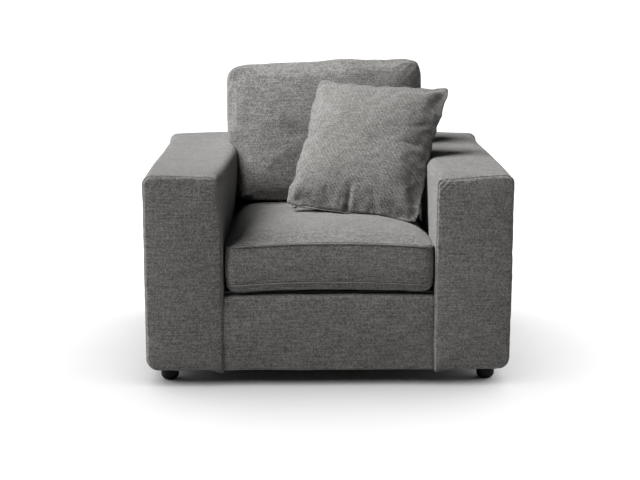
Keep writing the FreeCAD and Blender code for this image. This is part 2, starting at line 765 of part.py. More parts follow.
def back_cushion_form(inset):
    """Leaning cushion with a crowned front, cut level with the seat cushion it stands on."""
    half = BACK_CUSHION_HALF - inset
    rear = BACK_REAR - inset
    front = BACK_REAR - BACK_CUSHION_DEPTH + inset
    edge = front + BACK_CROWN
    lean = math.radians(BACK_LEAN)
    peak = BACK_REAR - BACK_CUSHION_DEPTH + BACK_PEAK
    top = (TOP_HEIGHT - BACK_FOOT_Z + peak * math.sin(lean)) / math.cos(lean) - inset
    base = 60.0
    middle = (top + base) / 2 + 60
    side = path_face(
        Vector(-half, rear, base), Vector(-half, edge, base),
        (Vector(-half, front, middle), Vector(-half, edge + 14, top - 34)),
        (Vector(-half, edge + 34, top - 9), Vector(-half, edge + 70, top)),
        Vector(-half, rear - 60, top),
        (Vector(-half, rear - 18, top - 16), Vector(-half, rear, top - 60)),
    ).extrude(Vector(2 * half, 0, 0))
    plan = path_face(
        Vector(half, rear, 0), Vector(half, edge, 0),
        (Vector(0, front, 0), Vector(-half, edge, 0)), Vector(-half, rear, 0),
    ).extrude(Vector(0, 0, 900))
    radius = BACK_CORNER_R - inset
    face = rounded_rectangle(
        -half, half, base, top, (radius, radius, 1.0, 1.0), lambda u, v: Vector(u, front - 40, v),
    ).extrude(Vector(0, 400, 0))
    solid = side.common(plan).common(face)
    solid.Placement = back_placement()
    return solid.common(above_deck(BACK_REST_ABOVE_DECK + inset))


def back_zip_placement():
    """On the underside: the zip's open side faces down."""
    turn = FreeCAD.Rotation(Vector(1, 0, 0), 90)
    local = FreeCAD.Placement(Vector(0, BACK_ZIP_Y, BACK_REST_ABOVE_DECK), turn)
    return deck_placement().multiply(local)


# ---- throw pillow, in its own frame -------------------------------------------------------
PILLOW_RIM = 10.0           # half the thickness at the seam
PILLOW_FACE = 190.0         # side of the flat at the middle of each face
PILLOW_ZIP_LENGTH = 380.0


def pillow_form(inset):
    """Square pillow: thin at its seam and full in the middle."""
    rim = PILLOW_RIM - inset
    depth = PILLOW_DEPTH / 2 - inset
    half = PILLOW_SIZE / 2 - inset
    flat = PILLOW_FACE / 2 - inset
    wires = []
    for y, side in ((-depth, flat), (-rim, half), (rim, half), (depth, flat)):
        corners = [(side, side), (-side, side), (-side, -side), (side, -side), (side, side)]
        wires.append(Part.makePolygon([Vector(x, y, z) for x, z in corners]))
    solid = Part.makeLoft(wires, True, True)
    solid.Placement = pillow_placement()
    return solid


def pillow_zip_placement():
    turn = FreeCAD.Rotation(Vector(1, 0, 0), 90)
    local = FreeCAD.Placement(Vector(0, 0, -PILLOW_SIZE / 2), turn)
    return pillow_placement().multiply(local)


# ---- the whole chair ----------------------------------------------------------------------
def all_parts():
    """Every node's shape, by the node's name."""
    parts = {}
    for name, shape in arm_parts().items():
        parts["arm_right_" + name] = shape
        parts["arm_left_" + name] = mirrored(shape)
    parts["arm_bolts"] = arm_bolts()

    for x_name, x in (("left", -FOOT_X), ("right", FOOT_X)):
        for y_name, y in (("front", -FOOT_Y), ("rear", FOOT_Y)):
            parts["foot_" + y_name + "_" + x_name] = foot(x, y)
    parts["foot_fixings"] = foot_fixings()

    parts["seat_front_rail"] = front_rail()
    parts["seat_rear_rail"] = rear_rail()
    parts["seat_right_rail"] = side_rail()
    parts["seat_left_rail"] = mirrored(side_rail())
    parts["corner_blocks"] = corner_blocks()
    for number, x in enumerate(spring_xs(), 1):
        parts["seat_spring_" + str(number)] = seat_spring(x)
    parts["spring_clips"] = spring_clips()
    parts["cross_tie_wires"] = cross_tie_wires()
    parts["deck_pad"] = deck_pad()
    parts["deck_cloth"] = deck_cloth()
    parts["apron_cover"] = apron_cover()
    parts["apron_padding"] = apron_padding()

    parts["back_right_post"] = back_post()
    parts["back_left_post"] = mirrored(back_post())
    parts["back_top_board"] = back_top_board()
    parts["back_lower_rail"] = back_lower_rail()
    parts["back_webbing"] = back_webbing()
    parts["back_padding"] = back_padding()
    parts["back_outer_panel"] = back_outer_panel()
    parts["inside_back_cover"] = inside_back_cover()
    parts["outside_back_cover"] = outside_back_cover()
    parts["dust_cover"] = dust_cover()

    cushions = (
        ("seat", "seat_cushion", seat_form, SEAT_ZIP_LENGTH, seat_zip_placement()),
        ("back", "back_cushion", back_cushion_form, BACK_ZIP_LENGTH, back_zip_placement()),
        ("pillow", "throw_pillow", pillow_form, PILLOW_ZIP_LENGTH, pillow_zip_placement()),
    )
    for short, name, form, zip_length, zip_placement in cushions:
        cover, filling, chain, slider = cushion_parts(form, zip_length, zip_placement)
        parts[name + "_cover"] = cover
        parts[name + "_filling"] = filling
        parts[name + "_zip"] = chain
        parts[short + "_zip_slider"] = slider
    return parts


def main():
    os.makedirs("parts", exist_ok=True)
    for name, shape in all_parts().items():
        shape.exportStep("parts/" + name + ".step")
        good = shape.isValid() and all(solid.Volume > 0 for solid in shape.Solids)
        note = "" if good else "BAD"
        print(name, len(shape.Solids), "solids", round(shape.Volume / 1000), "cm3", note)


if __name__ == "__main__":
    main()
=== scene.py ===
"""Looks of an upholstered armchair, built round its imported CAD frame.

Metres. +Z is up, the chair's front faces -Y, and "left" is the left of someone who faces it.
Most upholstered pieces are skins: rings of points that follow each other from one end of the piece
to the other. The throw pillow is two sheets joined along their edges. It and the back cushion are
filled by a cloth simulation, and folds, puckers and welts are added to the filled shapes.
"""

import json
import math

import bmesh
import bpy
import numpy as np
from mathutils import Matrix, Vector
from mathutils.bvhtree import BVHTree

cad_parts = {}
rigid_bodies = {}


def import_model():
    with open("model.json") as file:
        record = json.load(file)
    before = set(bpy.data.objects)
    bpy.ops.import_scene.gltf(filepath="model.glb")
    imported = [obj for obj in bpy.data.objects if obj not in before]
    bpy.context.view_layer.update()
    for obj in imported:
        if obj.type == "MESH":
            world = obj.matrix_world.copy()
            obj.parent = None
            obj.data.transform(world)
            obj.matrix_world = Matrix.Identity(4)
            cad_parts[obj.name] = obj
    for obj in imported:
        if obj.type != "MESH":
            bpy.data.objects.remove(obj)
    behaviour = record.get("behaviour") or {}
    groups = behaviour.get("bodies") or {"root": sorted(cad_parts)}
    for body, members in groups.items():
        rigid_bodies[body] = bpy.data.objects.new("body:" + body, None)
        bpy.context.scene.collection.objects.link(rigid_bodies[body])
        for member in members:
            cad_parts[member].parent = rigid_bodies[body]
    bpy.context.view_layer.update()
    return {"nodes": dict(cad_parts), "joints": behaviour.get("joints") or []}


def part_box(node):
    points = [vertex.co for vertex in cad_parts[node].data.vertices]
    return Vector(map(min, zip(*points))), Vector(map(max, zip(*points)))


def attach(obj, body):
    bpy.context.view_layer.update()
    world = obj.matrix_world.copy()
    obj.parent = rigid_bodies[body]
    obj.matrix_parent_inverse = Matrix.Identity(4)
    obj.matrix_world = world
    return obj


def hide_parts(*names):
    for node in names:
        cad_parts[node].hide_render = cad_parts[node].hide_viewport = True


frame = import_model()
NODES = frame["nodes"]
JOINTS = {joint["name"]: joint for joint in frame["joints"]}

# ---- directions that the frame's joints give ----------------------------------------------
SEAT_PITCH = math.asin(JOINTS["seat_cushion_slide"]["axis"][2])
BACK_LEAN = math.asin(JOINTS["back_cushion_lift"]["axis"][1])
DECK = Matrix.Rotation(-SEAT_PITCH, 4, "X")
BACK = Matrix.Rotation(-BACK_LEAN, 4, "X")
PILLOW_TURN = (
    Matrix.Rotation(math.radians(-25.5), 4, "Z")
    @ Matrix.Rotation(math.radians(-33.0), 4, "X")
    @ Matrix.Rotation(math.radians(3.5), 4, "Y")
)


def local_box(node, matrix):
    """Lowest and highest corner of a CAD node in another frame."""
    inverse = np.array(matrix.inverted())
    points = np.array([v.co for v in NODES[node].data.vertices])
    points = points @ inverse[:3, :3].T + inverse[:3, 3]
    return points.min(0), points.max(0)


def node_box(node):
    low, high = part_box(node)
    return np.array(low), np.array(high)


# ---- small numeric helpers ----------------------------------------------------------------
def bump(x, centre, width):
    """A smooth hill of height 1."""
    return np.exp(-(((x - centre) / width) ** 2))


def smooth(x, start, end):
    """0 before start, 1 after end, smooth between them."""
    t = np.clip((x - start) / (end - start), 0.0, 1.0)
    return t * t * (3.0 - 2.0 * t)


def ripple(points, wavelength, seed, waves=18, stretch=(1.0, 1.0, 1.0)):
    """Smooth noise, mostly between -1 and 1, with features about half a wavelength across."""
    random = np.random.default_rng(seed)
    directions = random.normal(size=(waves, 3))
    directions /= np.linalg.norm(directions, axis=1)[:, None]
    rates = 2 * math.pi / (wavelength * random.uniform(0.7, 1.5, waves))
    phases = random.uniform(0, 2 * math.pi, waves)
    angles = (points / np.array(stretch)) @ (directions * rates[:, None]).T + phases
    return np.sin(angles).sum(1) / math.sqrt(waves)


def spread(start, end, step):
    """Evenly spaced numbers from start up to, but without, end."""
    count = max(1, int(round(abs(end - start) / step)))
    return list(start + (end - start) * np.arange(count) / count)


def arc(centre, radius, start, end, count):
    """Points along an arc, both ends included."""
    turns = np.linspace(start, end, count)
    return [(centre[0] + radius * math.cos(t), centre[1] + radius * math.sin(t)) for t in turns]


# ---- skins --------------------------------------------------------------------------------
CORNER_POINTS = 10
WELT_SIDES = 8
WELT_WOBBLE = 0.05
PRESS_REACH = 0.05
PRESS_GAP = 0.0008


def ring(low, high, radii, counts):
    """A rounded rectangle in two coordinates, anticlockwise from the lower end of its right side.

    radii: lower right, upper right, upper left, lower left. counts: points on a level and on an
    upright side.
    """
    (u0, v0), (u1, v1) = low, high
    across, up = counts
    corners = [
        (u1 - radii[1], v1 - radii[1], radii[1], 0),
        (u0 + radii[2], v1 - radii[2], radii[2], 90),
        (u0 + radii[3], v0 + radii[3], radii[3], 180),
        (u1 - radii[0], v0 + radii[0], radii[0], 270),
    ]
    starts = [(u1, v0 + radii[0]), (u1 - radii[1], v1), (u0, v1 - radii[2]), (u0 + radii[3], v0)]
    ends = [(u1, v1 - radii[1]), (u0 + radii[2], v1), (u0, v0 + radii[3]), (u1 - radii[0], v0)]
    parts = []
    for side in range(4):
        count = up if side % 2 == 0 else across
        start, end = np.array(starts[side]), np.array(ends[side])
        parts.append(start + (end - start) * (np.arange(count) / count)[:, None])
        u, v, radius, first = corners[side]
        turn = np.radians(first + 90 * np.arange(CORNER_POINTS) / CORNER_POINTS)
        parts.append(np.stack([u + radius * np.cos(turn), v + radius * np.sin(turn)], 1))
    return np.vstack(parts)


def collapsed(low, high, counts):
    """The line that a rounded rectangle shrinks to, point for point, and how far its sides travel."""
    low, high = np.array(low), np.array(high)
    reach = float((high - low).min()) / 2
    return ring(low + reach, high - reach, (0, 0, 0, 0), counts), reach


def skin_mesh(name, rings, capped=False):
    """A closed mesh from rings of equally many points.

    Its first and last rings have collapsed to a line, or else are capped with flat faces.
    """
    rings = np.array(rings)
    count, around = rings.shape[:2]
    faces = []
    for row in range(count - 1):
        here, there = row * around, (row + 1) * around
        for i in range(around):
            j = (i + 1) % around
            faces.append((here + i, here + j, there + j, there + i))
    if capped:
        for base in (0, (count - 1) * around):
            for i in range(around // 2 - 1):
                faces.append((base + i, base + i + 1, base + around - 2 - i, base + around - 1 - i))
    mesh = bpy.data.meshes.new(name)
    mesh.from_pydata(rings.reshape(-1, 3).tolist(), [], faces)
    weld(mesh)
    return mesh


def weld(mesh, distance=2e-5):
    """Joins points that coincide, and turns all faces outwards."""
    work = bmesh.new()
    work.from_mesh(mesh)
    bmesh.ops.remove_doubles(work, verts=work.verts, dist=distance)
    bmesh.ops.dissolve_degenerate(work, dist=distance / 2, edges=work.edges)
    bmesh.ops.recalc_face_normals(work, faces=work.faces)
    work.to_mesh(mesh)
    work.free()
    mesh.update()


def points_of(mesh):
    points = np.zeros(len(mesh.vertices) * 3)
    mesh.vertices.foreach_get("co", points)
    return points.reshape(-1, 3)


def normals_of(mesh):
    normals = np.zeros(len(mesh.vertices) * 3)
    mesh.vertices.foreach_get("normal", normals)
    return normals.reshape(-1, 3)


def set_points(mesh, points):
    mesh.vertices.foreach_set("co", points.ravel())
    mesh.update()


def place(name, mesh, body, material, matrix=None, replaces=(), subdivide=0):
    """Makes a piece of the chair from a mesh in the given frame, riding on a body."""
    piece = bpy.data.objects.new(name, mesh)
    bpy.context.scene.collection.objects.link(piece)
    if matrix is not None:
        piece.matrix_world = matrix
    mesh.polygons.foreach_set("use_smooth", [True] * len(mesh.polygons))
    mesh.materials.clear()
    mesh.materials.append(material)
    if subdivide:
        modifier = piece.modifiers.new("finer", "SUBSURF")
        modifier.levels = subdivide
        modifier.render_levels = subdivide
    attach(piece, body)
    if replaces:
        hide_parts(*replaces)
    return piece


def welt_mesh(name, path, radius):
    """A round closed cord along a path, a little uneven in thickness."""
    tangent = np.roll(path, -1, 0) - np.roll(path, 1, 0)
    tangent /= np.linalg.norm(tangent, axis=1)[:, None] + 1e-12
    side = np.cross(tangent, np.array([0.0, 0.0, 1.0]))
    side /= np.linalg.norm(side, axis=1)[:, None]
    other = np.cross(side, tangent)
    width = radius * (1 + WELT_WOBBLE * ripple(path, 0.008, 5))
    points = []
    for k in range(WELT_SIDES):
        turn = 2 * math.pi * k / WELT_SIDES
        points.append(path + (side * math.cos(turn) + other * math.sin(turn)) * width[:, None])
    points = np.stack(points, 1)
    count = len(path)
    faces = []
    for row in range(count):
        here, there = row * WELT_SIDES, (row + 1) % count * WELT_SIDES
        for k in range(WELT_SIDES):
            m = (k + 1) % WELT_SIDES
            faces.append((here + k, here + m, there + m, there + k))
    mesh = bpy.data.meshes.new(name)
    mesh.from_pydata(points.reshape(-1, 3).tolist(), [], faces)
    weld(mesh, 1e-6)
    return mesh


def pressed(mesh, matrix, neighbours):
    """Moves points that lie inside a neighbouring piece to just outside its surface."""
    bpy.context.view_layer.update()
    depsgraph = bpy.context.evaluated_depsgraph_get()
    points = points_of(mesh)
    for neighbour in neighbours:
        surface = BVHTree.FromObject(neighbour, depsgraph)
        to_neighbour = neighbour.matrix_world.inverted() @ matrix
        back = to_neighbour.inverted()
        for index, point in enumerate(points):
            there = to_neighbour @ Vector(point)
            nearest, normal, _, _ = surface.find_nearest(there, PRESS_REACH)
            if nearest is not None and (there - nearest).dot(normal) < PRESS_GAP:
                points[index] = back @ (nearest + normal * PRESS_GAP)
    set_points(mesh, points)


# ---- materials ----------------------------------------------------------------------------
class Graph:
    """Short-hand for building a material's nodes. Noise scales are in features per metre."""

    def __init__(self, name, roughness, sheen=0.0, metallic=0.0):
        self.material = bpy.data.materials.new(name)
        self.material.use_nodes = True
        self.tree = self.material.node_tree
        self.shader = self.tree.nodes["Principled BSDF"]
        self.shader.inputs["Roughness"].default_value = roughness
        self.shader.inputs["Metallic"].default_value = metallic
        self.shader.inputs["Sheen Weight"].default_value = sheen
        self.shader.inputs["Sheen Roughness"].default_value = 0.5
        self.coordinates = self.tree.nodes.new("ShaderNodeTexCoord")

    def link(self, source, socket):
        if hasattr(source, "is_output"):
            self.tree.links.new(source, socket)
        else:
            socket.default_value = source

    def math(self, operation, first, second=0.0, third=0.0):
        node = self.tree.nodes.new("ShaderNodeMath")
        node.operation = operation
        for socket, value in zip(node.inputs, (first, second, third)):
            self.link(value, socket)
        return node.outputs[0]

    def vector(self, x, y, z=0.0):
        node = self.tree.nodes.new("ShaderNodeCombineXYZ")
        for socket, value in zip(node.inputs, (x, y, z)):
            self.link(value, socket)
        return node.outputs[0]

    def split(self, vector):
        node = self.tree.nodes.new("ShaderNodeSeparateXYZ")
        self.link(vector, node.inputs[0])
        return node.outputs

    def noise(self, vector, scale, detail=2.0, roughness=0.5, distortion=0.0):
        node = self.tree.nodes.new("ShaderNodeTexNoise")
        self.link(vector, node.inputs["Vector"])
        node.inputs["Scale"].default_value = scale
        node.inputs["Detail"].default_value = detail
        node.inputs["Roughness"].default_value = roughness
        node.inputs["Distortion"].default_value = distortion
        return node.outputs["Fac"]

    def mix(self, factor, first, second):
        """first where factor is 0, second where it is 1."""
        node = self.tree.nodes.new("ShaderNodeMix")
        node.data_type = "FLOAT"
        node.clamp_factor = True
        self.link(factor, node.inputs[0])
        self.link(first, node.inputs[2])
        self.link(second, node.inputs[3])
        return node.outputs[0]

    def ramp(self, factor, stops):
        node = self.tree.nodes.new("ShaderNodeValToRGB")
        self.link(factor, node.inputs[0])
        band = node.color_ramp
        while len(band.elements) < len(stops):
            band.elements.new(0.5)
        for element, (place_at, colour) in zip(band.elements, stops):
            element.position = place_at
            element.color = (*colour, 1.0)
        return node.outputs[0]

    def raise_surface(self, height, distance, strength):
        node = self.tree.nodes.new("ShaderNodeBump")
        node.inputs["Distance"].default_value = distance
        node.inputs["Strength"].default_value = strength
        self.link(height, node.inputs["Height"])
        self.tree.links.new(node.outputs[0], self.shader.inputs["Normal"])

    def colour(self, source):
        self.link(source, self.shader.inputs["Base Color"])

    def rough(self, source):
        self.link(source, self.shader.inputs["Roughness"])

    def flat_coordinates(self):
        """Two coordinates that lie in the surface, whichever way it faces."""
        x, y, z = self.split(self.coordinates.outputs["Object"])
        facing = self.split(self.coordinates.outputs["Normal"])
        sideways = self.math("GREATER_THAN", self.math("ABSOLUTE", facing[0]), 0.72)
        level = self.math("GREATER_THAN", self.math("ABSOLUTE", facing[2]), 0.69)
        u = self.mix(sideways, x, y)
        v = self.mix(level, z, y)
        return u, v


def tinted(base, factor):
    return tuple(min(1.0, channel * factor) for channel in base)


def woven(name, base, thread=0.0037, twill=False, contrast=1.15, relief=0.0018):
    """Heathered upholstery cloth: uneven warp and weft threads, each with its own changing tone, and
    painted light and shade that make each thread lighter along its crest and darker where it dips.
    """
    graph = Graph(name, roughness=0.93, sheen=0.15)
    u, v = graph.flat_coordinates()
    place_at = graph.vector(u, v)
    sway = graph.math("MULTIPLY", graph.noise(place_at, 30.0, 1.0), 0.8)
    a = graph.math("ADD", graph.math("DIVIDE", u, thread), sway)
    b = graph.math("ADD", graph.math("DIVIDE", v, thread * 1.1), sway)
    column = graph.math("FLOOR", a)
    row = graph.math("FLOOR", b)
    repeat = 4.0 if twill else 2.0
    crossing = graph.math("MODULO", graph.math("ADD", column, row), repeat)
    wrapped = graph.math("MODULO", graph.math("ADD", crossing, repeat), repeat)
    over = graph.math("LESS_THAN", wrapped, repeat / 2)
    warp_ridge = graph.math("ABSOLUTE", graph.math("SINE", graph.math("MULTIPLY", a, math.pi)))
    weft_ridge = graph.math("ABSOLUTE", graph.math("SINE", graph.math("MULTIPLY", b, math.pi)))
    ridge = graph.mix(over, warp_ridge, weft_ridge)

    along = 150.0
    weft_place = graph.vector(graph.math("MULTIPLY", u, along), graph.math("MULTIPLY", row, 1.37))
    warp_place = graph.vector(
        graph.math("MULTIPLY", column, 1.73), graph.math("MULTIPLY", v, along), 7.0
    )
    weft_tone = graph.noise(weft_place, 1.0, 2.0, 0.6)
    warp_tone = graph.noise(warp_place, 1.0, 2.0, 0.6)
    thread_tone = graph.mix(over, warp_tone, weft_tone)
    fleck = graph.noise(place_at, 400.0, 1.0, 0.6)
    cloud = graph.noise(place_at, 110.0, 2.0, 0.6)
    mottle = graph.noise(place_at, 48.0, 2.0, 0.6)
    patch = graph.noise(place_at, 9.0, 3.0, 0.6)
    slub = graph.noise(
        graph.vector(graph.math("MULTIPLY", u, 14.0), graph.math("MULTIPLY", v, 260.0)), 1.0, 2.0, 0.5
    )
    tone = 0.5
    # The ridge part paints each thread lighter along its crest and darker in the dips between threads:
    # a painted highlight and painted shade, on top of the bump.
    for part, middle, weight in (
        (thread_tone, 0.5, 2.6 * contrast), (fleck, 0.5, 0.8 * contrast),
        (cloud, 0.5, 0.5 * contrast), (mottle, 0.5, 0.55 * contrast), (patch, 0.5, 0.35),
        (slub, 0.5, 1.1 * contrast), (ridge, 0.62, 0.8 * contrast),
    ):
        tone = graph.math("MULTIPLY_ADD", graph.math("SUBTRACT", part, middle), weight, tone)
    warm = (base[0] * 1.04, base[1] * 0.98, base[2] * 0.93)
    cool = (base[0] * 0.98, base[1], base[2] * 1.03)
    graph.colour(graph.ramp(tone, [
        (0.0, tinted(warm, 0.36)), (0.28, tinted(warm, 0.7)), (0.5, base),
        (0.72, tinted(cool, 1.3)), (1.0, tinted(cool, 1.95)),
    ]))
    height = graph.math("MULTIPLY_ADD", fleck, 0.5, ridge)
    graph.raise_surface(height, relief, 0.75)
    graph.rough(graph.mix(ridge, 0.99, 0.9))
    return graph.material


def wooden(name, light, dark, rings=34.0):
    """Timber or board with a long grain."""
    graph = Graph(name, roughness=0.6)
    x, y, z = graph.split(graph.coordinates.outputs["Object"])
    across = graph.vector(
        graph.math("MULTIPLY", x, rings), graph.math("MULTIPLY", y, rings / 9),
        graph.math("MULTIPLY", z, rings),
    )
    grain = graph.noise(across, 2.0, 5.0, 0.65, 1.2)
    pores = graph.noise(across, 16.0, 2.0)
    tone = graph.math("MULTIPLY_ADD", pores, 0.3, grain)
    graph.colour(graph.ramp(tone, [(0.45, dark), (0.62, light), (0.85, tinted(light, 1.12))]))
    graph.rough(graph.mix(grain, 0.7, 0.5))
    graph.raise_surface(tone, 0.0006, 0.5)
    return graph.material


def speckled(name, light, dark, scale, roughness=0.95, relief=0.0008, metallic=0.0, sheen=0.0,
             gloss=0.5):
    """Foam, felt, moulded plastic or plated metal: an even, fine-grained surface."""
    graph = Graph(name, roughness=roughness, metallic=metallic, sheen=sheen)
    graph.shader.inputs["Specular IOR Level"].default_value = gloss
    where = graph.coordinates.outputs["Object"]
    grain = graph.noise(where, scale, 3.0, 0.6)
    wear = graph.noise(where, scale / 25, 2.0)
    tone = graph.math("MULTIPLY_ADD", graph.math("SUBTRACT", wear, 0.5), 0.4, grain)
    graph.colour(graph.ramp(tone, [(0.32, dark), (0.68, light)]))
    graph.rough(graph.mix(wear, roughness * 0.85, min(1.0, roughness * 1.1)))
    graph.raise_surface(grain, relief, 0.6)
    return graph.material


def ribbed(name, light, dark, pitch):
    """Webbing or a zip's coils: ribs that follow each other along X, with a painted highlight on each
    crest and painted shade in the grooves.
    """
    graph = Graph(name, roughness=0.7)
    along = graph.split(graph.coordinates.outputs["Object"])[0]
    turns = graph.math("MULTIPLY", along, 2 * math.pi / pitch)
    rib = graph.math("MULTIPLY_ADD", graph.math("SINE", turns), 0.5, 0.5)
    fuzz = graph.noise(graph.coordinates.outputs["Object"], 900.0, 2.0)
    # The rib paints the crests lighter and the grooves between them darker: a painted highlight and
    # painted shade, on top of the bump.
    tone = graph.math("MULTIPLY_ADD", graph.math("SUBTRACT", fuzz, 0.5), 0.6, rib)
    graph.colour(graph.ramp(tone, [(0.2, dark), (0.8, light)]))
    graph.rough(graph.mix(rib, 0.85, 0.55))
    graph.raise_surface(rib, pitch * 0.35, 0.8)
    return graph.material


GREY = (0.091, 0.087, 0.0825)
PALE_GREY = (0.084, 0.080, 0.0755)

CHAIR_CLOTH = woven("chair_cloth", GREY)
CUSHION_CLOTH = woven("cushion_cloth", GREY)
PILLOW_CLOTH = woven("pillow_cloth", PALE_GREY, thread=0.0034, twill=True, contrast=0.75)
# The welt cloth is the chair's grey made 1.25 times lighter: a painted highlight where the welts catch
# the light. Its finer, calmer weave is the cloth's own.
WELT_CLOTH_PAINTED_HIGHLIGHT = woven("welt_cloth_painted_highlight", tinted(GREY, 1.25), thread=0.0024, contrast=0.6, relief=0.0006)
FOAM = speckled("foam", (0.78, 0.74, 0.6), (0.62, 0.57, 0.43), 700.0)
FELT = speckled("felt", (0.34, 0.33, 0.32), (0.2, 0.195, 0.19), 500.0, sheen=0.3)
DECK_CLOTH = woven("deck_cloth", (0.1, 0.097, 0.093), thread=0.0018, contrast=0.5, relief=0.0005)
DUST_CLOTH = speckled("dust_cloth", (0.03, 0.03, 0.032), (0.012, 0.012, 0.013), 800.0)
PLYWOOD = wooden("plywood", (0.6, 0.44, 0.26), (0.42, 0.28, 0.15))
TIMBER = wooden("timber", (0.66, 0.49, 0.3), (0.46, 0.31, 0.17), rings=22.0)
HARDBOARD = speckled(
    "hardboard", (0.3, 0.18, 0.1), (0.2, 0.12, 0.065), 600.0, roughness=0.75, relief=0.0003
)
FOOT_PLASTIC = speckled(
    "foot_plastic", (0.006, 0.006, 0.0065), (0.003, 0.003, 0.0035), 900.0, roughness=0.5,
    relief=0.0002, gloss=0.15,
)
SPRING_STEEL = speckled(
    "spring_steel", (0.34, 0.33, 0.33), (0.2, 0.19, 0.19), 300.0, roughness=0.38,
    relief=0.0001, metallic=1.0,
)
ZINC = speckled(
    "zinc_steel", (0.68, 0.68, 0.66), (0.5, 0.5, 0.49), 260.0, roughness=0.33,
    relief=0.0001, metallic=1.0,
)
WEBBING = ribbed("webbing", (0.13, 0.13, 0.14), (0.05, 0.05, 0.055), 0.0024)
ZIP_COIL = ribbed("zip_coil", (0.09, 0.088, 0.085), (0.02, 0.02, 0.02), 0.0026)
ZIP_METAL = speckled(
    "zip_metal", (0.05, 0.05, 0.05), (0.025, 0.025, 0.025), 500.0, roughness=0.55,
    relief=0.0001, metallic=0.6,
)

# The first entry whose text is in a node's name gives its material.
CAD_MATERIALS = (
    ("zip_slider", ZIP_METAL), ("_zip", ZIP_COIL), ("_filling", FOAM), ("_padding", FOAM),
    ("deck_pad", FELT), ("deck_cloth", DECK_CLOTH), ("dust_cover", DUST_CLOTH),
    ("back_webbing", WEBBING), ("side_panels", HARDBOARD), ("outer_panel", HARDBOARD),
    ("_board", PLYWOOD), ("_ribs", PLYWOOD), ("_post", PLYWOOD), ("_rail", TIMBER),
    ("corner_blocks", TIMBER), ("seat_spring", SPRING_STEEL), ("cross_tie", SPRING_STEEL),
    ("spring_clips", ZINC), ("arm_bolts", ZINC), ("foot_fixings", ZINC), ("foot_", FOOT_PLASTIC),
    ("_cover", CHAIR_CLOTH),
)


def dress_cad_nodes():
    """Gives every CAD node its procedural material."""
    for name, node in NODES.items():
        material = next(m for part, m in CAD_MATERIALS if part in name)
        node.data.materials.clear()
        node.data.materials.append(material)


# ---- arms ---------------------------------------------------------------------------------
HEM_GAP = 0.0006
ARM_COUNTS = (20, 58)
# Corner radii of an arm's section: outer low, outer top, inner top, inner low.
ARM_RADII = (0.036, 0.026, 0.027, 0.006)
ARM_FRONT_ROLL = 0.012
ARM_FRONT_INSET = 0.0022
ARM_FRONT_PUFF = 0.0045
ARM_REAR_INSET = 0.002
ARM_REAR_TOP_ROLL = 0.040
ARM_REAR_LOW_ROLL = 0.014
ARM_REAR_INNER_ROLL = 0.005
ARM_CROWN = 0.0028
ARM_SHOULDER = 0.012
ARM_CORNER_RISE = 0.0065
ARM_CREASE_PITCH = 0.017
ARM_TUCK = 0.0105
ARM_LEFT_FULL = 0.0055
# What differs between the arms: how full the inner side is, how much fuller it is at the rear, how
# far the front's inner top corner is drawn in, how far the front panel's top edge drops towards
# that corner, and how square the corner stays.
ARM_SIDES = {
    -1: (ARM_LEFT_FULL, 0.018, 0.011, 0.004, 0.3),
    1: (0.002, 0.004, 0.003, 0.017, 1.0),
}


def arm_skin(name, low, high):
    """The plain arm: rings in X and Z that follow each other from its front to its rear."""
    (inner, y0, z0), (outer, y1, z1) = low, high
    edge = ring((inner, z0), (outer, z1), ARM_RADII, ARM_COUNTS)
    core, reach = collapsed((inner, z0), (outer, z1), ARM_COUNTS)
    height = (edge[:, 1] - z0) / (z1 - z0)
    front, rear = y0 + ARM_FRONT_INSET, y1 - ARM_REAR_INSET
    rings = []

    def add(travel, y):
        """One ring: travel is how far each point has moved in, y is where it is along the arm."""
        share = np.broadcast_to(np.asarray(travel, float) / reach, height.shape)[:, None]
        flat = edge + (core - edge) * share
        depth = np.broadcast_to(np.asarray(y, float), height.shape)
        rings.append(np.stack([flat[:, 0], depth, flat[:, 1]], 1))

    for travel in spread(reach, 0.03, 0.008) + spread(0.03, ARM_FRONT_ROLL, 0.003):
        puff = ARM_FRONT_PUFF * (1 - math.exp(-(travel - ARM_FRONT_ROLL) / 0.035))
        add(travel, front - puff)
    # The front panel's seam stands out of the rounded edge as a low ridge beside a groove.
    for turn in np.radians(np.linspace(0, 90, 19)):
        seam = 0.0013 * bump(turn, math.radians(50), math.radians(7))
        seam -= 0.0009 * bump(turn, math.radians(68), math.radians(8))
        add(ARM_FRONT_ROLL * (1 - math.sin(turn)) + seam * 0.7,
            front + ARM_FRONT_ROLL * (1 - math.cos(turn)) + seam * 0.7)
    for y in spread(y0 + 0.016, y1 - 0.052, 0.0085):
        add(0.0, y)
    # The rear edge is round at the top and outside, and sharp where it meets the back.
    outwards = smooth(edge[:, 0], inner + 0.02, outer - 0.04)
    rear_roll = ARM_REAR_INNER_ROLL + (ARM_REAR_LOW_ROLL - ARM_REAR_INNER_ROLL) * outwards
    topmost = smooth(height, 0.55, 1.0) * (0.2 + 0.8 * outwards)
    rear_roll += (ARM_REAR_TOP_ROLL - ARM_REAR_LOW_ROLL) * topmost
    for turn in np.radians(np.linspace(84, 0, 12)):
        add(rear_roll * (1 - np.sin(turn)), rear - rear_roll * (1 - math.cos(turn)))
    widest_roll = float(rear_roll.max())
    for travel in reversed(spread(reach, widest_roll, 0.009)):
        share = np.clip((travel - widest_roll) / (reach - widest_roll), 0, 1)
        add(rear_roll + (reach - rear_roll) * share, rear + ARM_REAR_INSET * share)
    return skin_mesh(name, rings)


